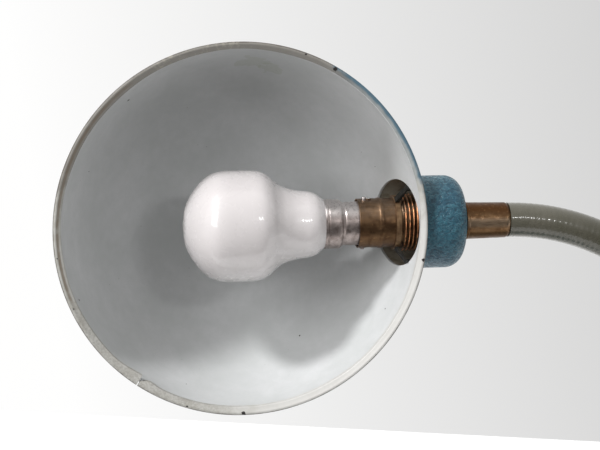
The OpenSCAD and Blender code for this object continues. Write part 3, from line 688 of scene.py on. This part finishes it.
def arc(centre, radius, start, end, steps):
    """Points along an arc, from start to end degrees."""
    angles = [math.radians(start + (end - start) * k / steps) for k in range(steps + 1)]
    return [(centre[0] + radius * math.cos(a), centre[1] + radius * math.sin(a)) for a in angles]


def smooth_line(points, steps=4):
    """Catmull-Rom curve through (radius, height) points, ends kept."""
    padded = [points[0], *points, points[-1]]
    line = []
    for a, b, c, d in zip(padded, padded[1:], padded[2:], padded[3:]):
        for k in range(steps):
            t = k / steps
            line.append(tuple(
                0.5 * (2 * q + (r - p) * t + (2 * p - 5 * q + 4 * r - s) * t * t
                       + (3 * q - p - 3 * r + s) * t ** 3)
                for p, q, r, s in zip(a, b, c, d)
            ))
    return [*line, points[-1]]


def cut(piece, *cutters):
    """Takes the cutters' shapes out of a piece, and removes them."""
    for cutter in cutters:
        modifier = piece.modifiers.new("cut", "BOOLEAN")
        modifier.operation = "DIFFERENCE"
        modifier.solver = "EXACT"
        modifier.object = cutter
    apply_modifiers(piece)
    for cutter in cutters:
        bpy.data.objects.remove(cutter)


def apply_modifiers(piece):
    shape = bpy.data.meshes.new_from_object(piece.evaluated_get(bpy.context.evaluated_depsgraph_get()))
    piece.modifiers.clear()
    piece.data = shape


def sharpen(piece):
    """Smooth shading with sharp edges kept, after a cut."""
    bm = bmesh.new()
    bm.from_mesh(piece.data)
    shade_smooth(bm)
    bm.to_mesh(piece.data)
    bm.free()


def rod(place, radius, low, high, sides):
    """Plain cutter: a rod along local Z."""
    outline = [(0, low), (radius, low), (radius, high), (0, high)]
    return lathe("cutter", outline, place, sides)


def settle(piece, body, slot, *nodes):
    """Finish, body and the CAD nodes a piece stands for."""
    dress(piece, slot)
    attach(piece, body)
    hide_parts(*nodes)
    return piece


# ---- shade and trim

HOLE_R = 22.0
EDGE_DEPTH = 1.5
CLEARANCE = 0.02


def bowl_face(radius, shares):
    """Outline of a round face, at shares of the way from the mouth's edge to the bottom."""
    lip = EDGE_DEPTH + CLEARANCE
    depths = [lip + (radius - lip) * math.sin(math.pi / 2 * share) for share in shares]
    return [(math.sqrt(max(0, radius ** 2 - depth ** 2)), depth) for depth in depths]


def build_shade():
    """Spun bowl with the side hole: blue crinkle outside, aged off-white inside and in the hole."""
    rings = 80
    inwards = [k / rings for k in range(rings + 1)]
    outline = bowl_face(BOWL_R, inwards) + bowl_face(BOWL_R - WALL, inwards[::-1])
    piece = lathe("shade_bowl", outline, SHADE, 192)
    cut(piece, rod(LAMP, HOLE_R, 40, 100, 96))
    settle(piece, "head", "shade_paint", "shade")
    paint_bowl(piece)


def paint_bowl(piece):
    """Crinkle blue on the outer face, off-white on the rest, with both faces shaded as spheres."""
    dress(piece, "crinkle_blue", "shade_paint")
    mesh = piece.data
    normals = [None] * len(mesh.loops)
    for face in mesh.polygons:
        outwards = (face.center - SHADE_MID).normalized()
        facing = face.normal.dot(outwards)
        face.material_index = 0 if facing > 0.9 else 1
        face.use_smooth = True
        for loop in face.loop_indices:
            away = (mesh.vertices[mesh.loops[loop].vertex_index].co - SHADE_MID).normalized()
            normals[loop] = away if facing > 0.9 else -away if facing < -0.9 else face.normal
    mesh.normals_split_custom_set(normals)


# Where the trim's joint is and how wide it gapes, in degrees
JOINT_TURN = 234.5
JOINT_GAP = 0.45

BEAD_R = 1.1
TRIM_W = 3.9
FOLD = 0.45


def trim_outline(flare):
    """Round bead outside the bowl's edge, then a band that slopes back to a lip behind the edge."""
    r = SHADE_R
    inner = r - TRIM_W - flare
    channel = BOWL_R + CLEARANCE
    bead = arc((r - BEAD_R, BEAD_R), BEAD_R, 100, -128, 20)
    lip = rounded([
        (r - 2.15, 0.52, 0), (inner + 0.3, 1.1, 0.25), (inner, 1.4, 0.2), (inner, RIM_DEPTH, 0.1),
        (inner + FOLD, RIM_DEPTH, 0), (inner + FOLD, EDGE_DEPTH, 0), (channel, EDGE_DEPTH, 0),
        (channel, RIM_DEPTH, 0), (BOWL_R + FOLD, RIM_DEPTH, 0), (BOWL_R + FOLD, 2.25, 0),
    ])
    return bead + lip


def hump(away, reach):
    """Bell curve: 1 in its middle, small beyond its reach."""
    return math.exp(-((away / reach) ** 2))


def trim_flare(swept, to_end, turn):
    """How much wider than usual the band is, in mm, by degrees from its start and to its end.

    The end is splayed. The start is narrow and then swells. The band is narrower at the lower
    right, and its width wanders a little all round.
    """
    splay = 1.6 * hump(to_end, 6.5)
    swell = 0.9 * hump(swept - 3.2, 3.0) - 1.6 * hump(swept, 1.4)
    narrow = hump(math.remainder(turn + math.radians(40), 2 * math.pi), 0.9)
    wander = 0.12 * math.sin(5 * turn + 1) + 0.08 * math.sin(13 * turn)
    return max(-0.9, splay + swell + wander - narrow)


def build_trim():
    """Band folded over the bowl's edge, from one end of its joint round to the other."""
    sections = 360
    span = 360 - JOINT_GAP
    bm = bmesh.new()
    rings = []
    for k in range(sections + 1):
        swept = span * k / sections
        turn = math.radians(-(JOINT_TURN + JOINT_GAP / 2 + swept))
        outline = trim_outline(trim_flare(swept, span - swept, turn))
        rings.append([point(bm, r, turn, z) for r, z in outline])
    stitch_and_cap(bm, rings)
    settle(make_piece("rim_band", bm, SHADE), "head", "rim_paint", "rim_trim")


# ---- collar, ferrules and holder

def build_collar():
    """Deep cup with a rounded, slightly domed end; its mouth follows the shade's outer face."""
    radius, wall, corner = 23.5, 1.2, 9.0
    dome, bore = 0.6, 5.05
    end = station("collar", 1)
    flat = radius - corner
    bend = end - dome - corner
    sides, columns = 144, 12
    aside, front, lift = (SHADE_MID - LAMP_MID) / MM
    bm = bmesh.new()

    def mouth(r, turn):
        up, back = -r * math.cos(turn), r * math.sin(turn)
        return aside + math.sqrt(max(0, BOWL_R ** 2 - (up - lift) ** 2 - (back - front) ** 2)) + 0.03

    def wall_ring(r, top, share):
        """Ring that is share of the way from the curved mouth to a flat top."""
        return [point(bm, r, t, mouth(r, t) + (top - mouth(r, t)) * share) for t in turns(sides)]

    outside = arc((flat, bend), corner, 0, 84, 14)
    outside += [(r, end - dome * ((r - bore) / (flat - bore)) ** 2) for r in (13.4, 11, 8.5)]
    outside += [(bore + 0.2, end), (bore, end - 0.15)]
    inside = [(bore, end - wall), (flat, end - dome - wall)]
    inside += arc((flat, bend), corner - wall, 81, 0, 9)
    rings = [wall_ring(radius, outside[0][1], k / columns) for k in range(columns)]
    rings += [ring_of(bm, r, z, sides) for r, z in outside + inside]
    inner_top = inside[-1][1] - 0.01
    rings += [wall_ring(radius - wall, inner_top, k / columns) for k in range(columns, -1, -1)]
    stitch(bm, rings + rings[:1])
    cup = settle(make_piece("collar_cup", bm, LAMP), "head", "crinkle_blue", "collar")
    dress(cup, "crinkle_blue", "bare_inside")
    first_inside = (columns + len(outside)) * sides
    for face in cup.data.polygons[first_inside:]:
        face.material_index = 1


FERRULE_WIDE, FERRULE_NARROW = 9.6, 8.95
COIL_BORE, COIL_R, COIL_L = 4.0, 6.8, 8.0
GRUB_R = 1.3


def ferrule(name, start, end, bore, bore_l, place):
    """Turned ferrule: a bead at its foot, a slight taper and a rounded end over the sleeve."""
    wide, narrow = FERRULE_WIDE, FERRULE_NARROW
    length = end - start
    outline = rounded([
        (bore, 0, 0.2), (wide - 0.5, 0, 0.3), (wide, 0.5, 0.3), (wide, 1.6, 0.3),
        (wide - 0.22, 1.9, 0.15), (narrow + 0.05, length - 1.6, 0.4), (narrow - 0.7, length, 0.7),
        (COIL_R, length, 0.2), (COIL_R, length - COIL_L, 0), (COIL_BORE, length - COIL_L, 0),
        (COIL_BORE, bore_l, 0), (bore, bore_l, 0),
    ])
    return lathe(name, outline, shifted(place, start))


def build_ferrules():
    """The same ferrule at both ends of the arm."""
    start, end = station("head_ferrule", 0), station("head_ferrule", 1)
    head = ferrule("ferrule_head", start, end, 5.08, 14.1, LAMP)
    screw_at = (station("swivel_screw", 0) + station("swivel_screw", 1)) / 2
    cut(head, rod(across(LAMP, screw_at), GRUB_R, 3, 12, 32))
    sharpen(head)
    settle(head, "arm_tip", "aged_brass", "head_ferrule")
    foot, top = (corner.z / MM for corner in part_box("base_ferrule"))
    base = ferrule("ferrule_base", foot, top, 5.0, 12.0, UPRIGHT)
    settle(base, "root", "aged_brass", "base_ferrule")


# The bayonet: where its pins are, their size, and how far a slot runs round to its seat
PIN_TURN = 12
PIN_AT = 65.6
PIN_R = 1.1
SLOT_W = 2 * PIN_R + 0.6
SLOT_SWING = 22
TUBE_R = 12.5
SKIRT_AT = 84.2

# One ridge of the rolled thread: share of the pitch, share of the height
THREAD_PITCH = 2.0
RIDGE = ((0.08, 0), (0.25, 0.45), (0.4, 0.9), (0.5, 1), (0.6, 0.9), (0.75, 0.45), (0.92, 0))


def build_barrel():
    """Bayonet barrel: rolled mouth, a bead, two J-slots and a skirt with a rolled thread."""
    mouth, end = station("holder_barrel", 0), station("holder_barrel", 1)
    tube, bore, skirt = TUBE_R, TUBE_R - 0.8, SKIRT_AT
    crest, root = 14.5, 13.55
    outline = [(bore, mouth + 0.2), (bore + 0.25, mouth), (tube - 0.15, mouth), (tube, mouth + 0.2)]
    bead = ((72.2, 0), (72.5, 0.12), (73.0, 0.3), (73.6, 0.36), (74.2, 0.3), (74.7, 0.12), (75.0, 0))
    outline += [(tube + rise, at) for at, rise in bead]
    outline += [(tube, skirt - 0.5), (tube + 0.2, skirt), (root - 0.2, skirt)]
    for k in range(int((end - skirt) / THREAD_PITCH)):
        for share, rise in RIDGE:
            outline.append((root + (crest - root) * rise, skirt + (k + share) * THREAD_PITCH))
    outline += [(root, end), (crest - 1.6, end), (crest - 1.6, skirt + 1.2), (bore, skirt + 1.2)]
    piece = lathe("holder_barrel_shell", outline, LAMP, 128)
    cut(piece, *slot_cutters(0), *slot_cutters(math.pi))
    sharpen(piece)
    settle(piece, "head", "aged_brass", "holder_barrel")


def slot_cutters(side):
    """A J-slot's cutters: the way in, the way round, and the seat that holds a pin."""
    run = PIN_AT + 1.2
    end = run + SLOT_W
    start = side + math.radians(PIN_TURN - SLOT_SWING)
    mouth = station("holder_barrel", 0)
    way_in = block(LAMP @ Matrix.Rotation(start, 4, "Z"),
                   (TUBE_R - 2, -SLOT_W / 2, mouth - 1), (TUBE_R + 2, SLOT_W / 2, end))
    bm = bmesh.new()
    rings = []
    steps = 24
    low, high = TUBE_R - 2, TUBE_R + 2.1
    for k in range(steps + 1):
        a = start + math.radians(SLOT_SWING * k / steps)
        corners = ((low, run), (high, run), (high, end - 0.03), (low, end - 0.03))
        rings.append([point(bm, r, a, z) for r, z in corners])
    stitch_and_cap(bm, rings)
    way_round = make_piece("cutter", bm, LAMP)
    at_pin = LAMP @ Matrix.Rotation(side + math.radians(PIN_TURN), 4, "Z")
    seat = rod(across(at_pin, PIN_AT, TUBE_R - 2.2), PIN_R + 0.2, 0, 4.5, 32)
    half = PIN_R + 0.14
    seat_run = block(at_pin, (TUBE_R - 1.9, -half, PIN_AT), (TUBE_R + 1.9, half, end - 0.4))
    return [way_in, way_round, seat, seat_run]


def block(place, low, high):
    """Plain cutter: a box between two corners."""
    bm = bmesh.new()
    ring = [(low[0], low[1]), (high[0], low[1]), (high[0], high[1]), (low[0], high[1])]
    stitch_and_cap(bm, [[bm.verts.new((x, y, z)) for x, y in ring] for z in (low[2], high[2])])
    return make_piece("cutter", bm, place)


# ---- bulb

GLASS_WALL = 0.9

# Radius and distance from the tip along the bulb's glass
BULB_OUTSIDE = [
    (0, 0), (5.6, 0.35), (10.4, 1.4), (16.8, 4.6), (21.6, 8.2), (24.8, 11.8), (26.9, 15.6),
    (27.8, 20.0), (28.0, 25.0), (28.0, 31.0), (27.8, 36.0), (27.0, 39.6), (25.0, 43.0),
    (22.4, 45.8), (20.3, 48.6), (18.8, 51.8), (17.8, 55.0), (17.1, 59.0), (16.7, 63.0),
    (15.8, 66.2), (14.2, 68.6),
]
CAP_WIDE, CAP_SLIM = 12.5, 11.0


def build_glass():
    """Blown opal bulb with a wall."""
    tip, neck = station("bulb_glass", 0), station("bulb_cap", 0)
    line = smooth_line([*BULB_OUTSIDE, (CAP_WIDE, neck - tip)])
    line = [(0, 0), *((max(r, 0), z) for r, z in line[1:])]
    shell = [(max(0, r - GLASS_WALL), z + GLASS_WALL * (1 - z / 70)) for r, z in reversed(line)]
    shell[0] = (line[-1][0] - GLASS_WALL, line[-1][1])
    glass = lathe("bulb_envelope", line + shell, shifted(LAMP, tip), 128)
    settle(glass, "bulb", "opal_glass", "bulb_glass")


def build_cap():
    """Pressed bayonet cap with its two pins."""
    wide, slim, wall = CAP_WIDE, CAP_SLIM, 0.4
    neck = station("bulb_cap", 0)
    length = station("bulb_insulator", 1) - neck
    profile = rounded([
        (wide - wall, 0, 0), (wide - 0.1, 0, 0.15), (wide, 0.8, 0.2), (wide, 1.3, 0.1),
        (wide - 0.35, 1.6, 0.1), (wide - 0.35, 1.9, 0.1), (wide, 2.2, 0.1), (wide, 7.6, 0.35),
        (wide - 0.55, 8.5, 0.35), (slim - 0.25, 9.3, 0.3), (slim - 0.25, 10.2, 0.2),
        (slim, 10.9, 0.3), (slim, length - 1.6, 0.8), (slim - 1.1, length - 0.1, 0.5),
        (9.0, length, 0.1), (9.0, length - 1, 0.2), (slim - wall, length - 3, 0.3),
        (slim - wall, 10.6, 0.2), (wide - wall - 0.35, 8.2, 0.3), (wide - wall, 7.6, 0.2),
    ], 3)
    cap = lathe("bulb_cap_shell", profile, shifted(LAMP, neck), 128)
    settle(cap, "bulb", "cap_metal", "bulb_cap")
    root = slim - 0.5
    reach = 13.9 - root
    pin = rounded([(0, 0, 0), (1.45, 0, 0.1), (PIN_R, 0.7, 0.2), (PIN_R, reach, 0.35), (0, reach, 0)])
    for name, side in (("bulb_pin_a", 0), ("bulb_pin_b", math.pi)):
        at_pin = LAMP @ Matrix.Rotation(side + math.radians(PIN_TURN), 4, "Z")
        settle(lathe(name, pin, across(at_pin, PIN_AT, root), 32), "bulb", "cap_metal", "bulb_cap")


# ---- arm

SLEEVE_R, SLEEVE_BORE = 8.8, 7.3
SLEEVE_RIPPLE, WIRE_PITCH = 0.035, 2.9
FLEX_R = 2.7


def tube_along(name, start, end, outer, inner, rings, sides=64, ripple=0.0):
    """Length of tube that follows the arm; ripple shows the coil's turns under it."""
    bm = bmesh.new()
    walls = []
    for radius in (outer, inner):
        if radius == 0:
            continue
        line = []
        for k in range(rings + 1):
            s = start + (end - start) * k / rings
            place = on_arm(s)
            r = radius + (ripple * math.cos(2 * math.pi * s / WIRE_PITCH) if radius == outer else 0)
            line.append([
                bm.verts.new(place @ Vector((r * math.cos(a), r * math.sin(a), 0)))
                for a in turns(sides)
            ])
        walls.append(line)
    for line in walls:
        stitch(bm, line)
    for end_ring in (0, -1):
        if inner:
            bridge(bm, walls[0][end_ring], walls[1][end_ring])
        else:
            bm.faces.new(walls[0][end_ring])
    return make_piece(name, bm, Matrix.Identity(4))


def sleeve_along(name, start, end, rings):
    return tube_along(name, start, end, SLEEVE_R, SLEEVE_BORE, rings, ripple=SLEEVE_RIPPLE)


def flex_along(name, start, end, rings):
    return tube_along(name, start, end, FLEX_R, 0, rings, 24)


def arm_body(k):
    """Body between hinge k and the next one."""
    return "root" if k == 0 else "arm_tip" if k == HINGES else f"link_{k:02d}"


def bend_with_arm(piece):
    """Bakes a length of arm's placement into its mesh."""
    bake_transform(piece)


# Over this hinge the arm is two stiff lengths: the bend of a single one goes astray there
SPLIT_HINGE = 11


def build_split(k):
    """Lengths before and after hinge k, each on its own body, and a round knuckle in the bend."""
    start, middle, end = (k - 1) * PITCH, (k - 0.5) * PITCH, k * PITCH
    for side, low, high, body in (("a", start, middle, arm_body(k - 1)),
                                  ("b", middle, end, arm_body(k))):
        sleeve = sleeve_along(f"sleeve_{k:02d}{side}", low, high, 20)
        settle(sleeve, body, "sleeve_plastic", "arm_sleeve")
        flex = flex_along(f"flex_{k:02d}{side}", low, high, 6)
        settle(flex, body, "flex_rubber", "arm_flex")
    round_r, bore = SLEEVE_R - 0.04, SLEEVE_BORE + 0.1
    reach = math.degrees(math.acos(bore / round_r)) - 1
    zone = arc((0, 0), round_r, -reach, reach, 16)
    zone += [(bore, zone[-1][1]), (bore, zone[0][1])]
    knuckle = lathe("sleeve_knuckle", zone, on_arm(middle), 64)
    settle(knuckle, arm_body(k), "sleeve_plastic", "arm_sleeve")


def build_bending(k):
    """Sleeve and flex over hinge k, laid along the arm as it is at rest."""
    start, end = (k - 1) * PITCH, k * PITCH
    sleeve = sleeve_along(f"sleeve_{k:02d}", start, end, 40)
    flex = flex_along(f"flex_{k:02d}", start, end, 12)
    for piece, slot, node in ((sleeve, "sleeve_plastic", "arm_sleeve"),
                              (flex, "flex_rubber", "arm_flex")):
        dress(piece, slot)
        bend_with_arm(piece)
        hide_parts(node)


def straight_flex(name, low, high, place, body):
    """Straight end of the flex, past the arm."""
    outline = rounded([(0, low, 0), (FLEX_R, low, 0.3), (FLEX_R, high, 0), (0, high, 0)], 3)
    settle(lathe(name, outline, place, 24), body, "flex_rubber", "arm_flex")


def build_arm():
    """Sleeve and flex, one length for each hinge, and the flex's ends."""
    for k in range(1, HINGES + 1):
        if k == SPLIT_HINGE:
            build_split(k)
        else:
            build_bending(k)
    straight_flex("flex_tail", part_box("arm_flex")[0].z / MM, ARM_FOOT, UPRIGHT, "root")
    straight_flex("flex_lead", station("arm_flex", 0), station("head_ferrule", 1), LAMP, "arm_tip")


# ---- base and switch

COVER_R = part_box("base_cover")[1].x / MM
INLET = across(UPRIGHT, 13)
INLET_HOLE_R, SWITCH_HOLE_R = 6.05, 5.95


def build_cover():
    """Spun cover with a rolled foot, a soft shoulder and a shallow boss for the arm."""
    low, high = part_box("base_cover")
    foot, top = low.z / MM, high.z / MM
    wall, shoulder, boss, bore = 1.5, 10.0, 16.0, 5.0
    radius = COVER_R
    side = radius - 0.45
    shoulder_top = top - 10
    slope_top = top - 0.5
    outline = rounded([
        (radius - wall, foot, 0.5), (radius, foot, 0.6), (radius, foot + 2.2, 0.5),
        (side, foot + 2.7, 0.3), (side, shoulder_top, shoulder), (boss + 1.5, slope_top, 2.5),
        (boss - 0.4, top, 1.0), (bore, top, 0), (bore, top - wall, 0), (boss - 0.8, top - wall, 0.5),
        (boss + 1.2, slope_top - wall, 2), (side - wall, shoulder_top - wall, shoulder - wall),
    ], 10)
    cover = lathe("base_dome", outline, UPRIGHT, 192)
    switch_hole = rod(switch_frame(), SWITCH_HOLE_R, -6, 6, 48)
    cut(cover, switch_hole, rod(INLET, INLET_HOLE_R, 70, 100, 48))
    sharpen(cover)
    settle(cover, "root", "crinkle_blue", "base_cover")


def build_pad():
    """Rubber pad under the base, with a shallow groove."""
    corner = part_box("base_pad")[1]
    radius, thick = corner.x / MM, corner.z / MM
    groove = [(radius - 9, 0), (radius - 8.5, 0.5), (radius - 7, 0.5), (radius - 6.5, 0)]
    edge = [(radius - 1, 0, 0), (radius, 0.4, 0.5), (radius, thick, 0.2), (0, thick, 0)]
    outline = [(0, 0), *groove, (radius - 1, 0), *rounded(edge, 3)[1:]]
    pad = lathe("base_foot_pad", outline, UPRIGHT, 144)
    settle(pad, "root", "pad_rubber", "base_pad")


def build_inlet():
    """Flanged bush where a cord would enter."""
    low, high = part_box("inlet_bush")
    start, end = low.x / MM, high.x / MM
    bore, body, flange = 3.3, 6.0, (high.z - low.z) / 2 / MM
    bush = lathe("inlet_grommet", rounded([
        (bore, start, 0.4), (body, start, 0.4), (body, COVER_R, 0), (flange, COVER_R, 0.4),
        (flange, COVER_R + 1.6, 0.9), (bore + 1.6, end, 0.8), (bore, end, 0.7),
    ], 5), INLET, 64)
    settle(bush, "root", "bakelite", "inlet_bush")


# The lever's pivot is this far above the cover, in mm
PIVOT_RISE = 3
LEVER_TILT = math.radians(-15)


def switch_frame():
    """Frame at the switch on the cover: +Z leaves it, square to its slope."""
    pivot = joint_place("switch_toggle")
    along = (pivot - mid("switch_bush")).normalized()
    tilt = math.atan2(along.x, along.z)
    place = Matrix.Translation(pivot) @ Matrix.Rotation(tilt, 4, "Y") @ TO_MM
    return shifted(place, -PIVOT_RISE)


def notch(radius, turn, height):
    """Knurling of the dress nut's edge."""
    return -0.16 if radius > 8 and height > 0.3 and math.cos(36 * turn) > 0.2 else 0


def build_switch():
    """Dress nut with notches, threaded bush and a bat lever."""
    place = switch_frame()
    edge = [(5.9, 0.02, 0), (8.6, 0.02, 0.2), (8.6, 1.5, 0.3), (7.6, 2.6, 0.5), (5.9, 2.6, 0.2)]
    nut = lathe("switch_dress_nut", rounded(edge), place, 96, notch)
    settle(nut, "root", "nickel", "switch_nut")
    outline = [(3.6, -3.6), (5.9, -3.6), (5.9, 2.4)]
    for z in (2.8, 3.8, 4.8, 5.8, 6.8):
        outline += [(5.55, z), (5.85, z + 0.35), (5.85, z + 0.6)]
    outline += [(5.4, 8.0), (4.2, 8.0), (3.6, 7.5)]
    bush = lathe("switch_threaded_bush", outline, place, 72)
    settle(bush, "root", "nickel", "switch_bush")
    profile = [(0, -9.0), (0.9, -9.0), (1.1, -8.7), (1.1, -3.2)]
    profile += arc((0, 0), 3.3, -70, 66, 12)
    profile += smooth_line([(1.34, 3.3), (1.42, 6.0), (1.75, 10.0), (2.3, 14.5), (2.5, 17.0)])
    profile += arc((0, 17.0), 2.5, 4, 90, 8)[:-1] + [(0, 19.5)]
    lever = shifted(place, PIVOT_RISE) @ Matrix.Rotation(LEVER_TILT, 4, "Y")
    settle(lathe("switch_bat", profile, lever, 48), "switch_lever", "nickel", "switch_lever")


build_shade()
build_trim()
build_collar()
build_ferrules()
build_barrel()
build_glass()
build_cap()
build_arm()
build_cover()
build_pad()
build_inlet()
build_switch()


# ---- floor, surround and lights

TABLE_YAW = math.radians(-20)
TABLE_THICK = 0.03
AMBIENT_LOW, AMBIENT_HIGH = 0.12, 1.0
KEY_TRAVEL = Vector((0.56, 0.36, -0.745))
KEY_STRENGTH = 2.1
KEY_SOFTNESS = math.radians(9)


def build_floor():
    """Pale table top, whose far edge lies behind the lamp."""
    f = Finish("table_top", rough=0.55)
    cloud = f.cloud(0.3, 0.7, 60, 3)
    f.paint(f.between(cloud, (244, 244, 244), (238, 238, 238)))
    f.bump(f.noise(1.5, 3), 0.02, 0.3)
    far, near, half = 0.796, -0.3, 1.6
    bm = bmesh.new()
    outline = ((-half, near), (half, near), (half, far), (-half, far))
    top = bm.faces.new([bm.verts.new((x, y, 0)) for x, y in outline])
    thick = bmesh.ops.extrude_face_region(bm, geom=[top])
    below = [v for v in thick["geom"] if isinstance(v, bmesh.types.BMVert)]
    bmesh.ops.translate(bm, verts=below, vec=(0, 0, -TABLE_THICK))
    floor = make_piece("table", bm, Matrix.Rotation(TABLE_YAW, 4, "Z"))
    floor.data.materials.append(f.material)


def build_world():
    """Soft surround, brighter above and behind; the camera sees a pale wall in its place, painted brighter to the
    left and dimmer to the right as painted light.
    """
    world = bpy.data.worlds.new("studio")
    world.use_nodes = True
    tree = world.node_tree
    tree.nodes.clear()
    out = tree.nodes.new("ShaderNodeOutputWorld")
    where = tree.nodes.new("ShaderNodeTexCoord").outputs["Generated"]

    def background(colour, direction, *span):
        """Light whose strength changes with its direction; span is from low, high onto start, end."""
        dot = tree.nodes.new("ShaderNodeVectorMath")
        dot.operation = "DOT_PRODUCT"
        tree.links.new(where, dot.inputs[0])
        dot.inputs[1].default_value = Vector(direction).normalized()
        ramp = tree.nodes.new("ShaderNodeMapRange")
        tree.links.new(dot.outputs["Value"], ramp.inputs["Value"])
        for key, value in zip(("From Min", "From Max", "To Min", "To Max"), span):
            ramp.inputs[key].default_value = value
        node = tree.nodes.new("ShaderNodeBackground")
        node.inputs["Color"].default_value = colour
        tree.links.new(ramp.outputs[0], node.inputs["Strength"])
        return node.outputs[0]

    light = background((1.0, 0.995, 0.985, 1), (-0.25, 0.7, 0.75), -1, 1, AMBIENT_LOW, AMBIENT_HIGH)
    # Painted light on the wall the camera sees: brighter to the left, dimmer to the right
    seen = background((1.0, 0.998, 0.994, 1), (-1, 0, -0.15), -0.33, 0.06, 0.66, 1.0)
    path = tree.nodes.new("ShaderNodeLightPath")
    mix = tree.nodes.new("ShaderNodeMixShader")
    tree.links.new(path.outputs["Is Camera Ray"], mix.inputs[0])
    tree.links.new(light, mix.inputs[1])
    tree.links.new(seen, mix.inputs[2])
    tree.links.new(mix.outputs[0], out.inputs["Surface"])
    scene.world = world


def add_lamp(name, light, travel, place=Vector()):
    """Lamp of a light whose rays travel one way."""
    lamp = bpy.data.objects.new(name, light)
    lamp.location = place
    lamp.rotation_mode = "QUATERNION"
    lamp.rotation_quaternion = travel.to_track_quat("-Z", "Y")
    scene.collection.objects.link(lamp)


def add_panel(name, offset, width, height, power):
    """Rectangular light that faces the shade."""
    panel = bpy.data.lights.new(name, "AREA")
    panel.shape = "RECTANGLE"
    panel.size, panel.size_y = width, height
    panel.energy = power
    add_lamp(name, panel, -offset, SHADE_MID + offset)


def build_lights():
    """A soft key from above, left and in front, a broad panel at the left and two small panes."""
    key = bpy.data.lights.new("key", "SUN")
    key.energy = KEY_STRENGTH
    key.angle = KEY_SOFTNESS
    add_lamp("key", key, KEY_TRAVEL)
    add_panel("left_panel", Vector((-0.95, -0.75, 0.45)), 0.5, 0.7, 6)
    add_panel("window_a", Vector((0.42, -1.12, 0.44)), 0.05, 0.08, 0.6)
    add_panel("window_b", Vector((0.54, -1.08, 0.44)), 0.05, 0.08, 0.6)


build_floor()
build_world()
build_lights()
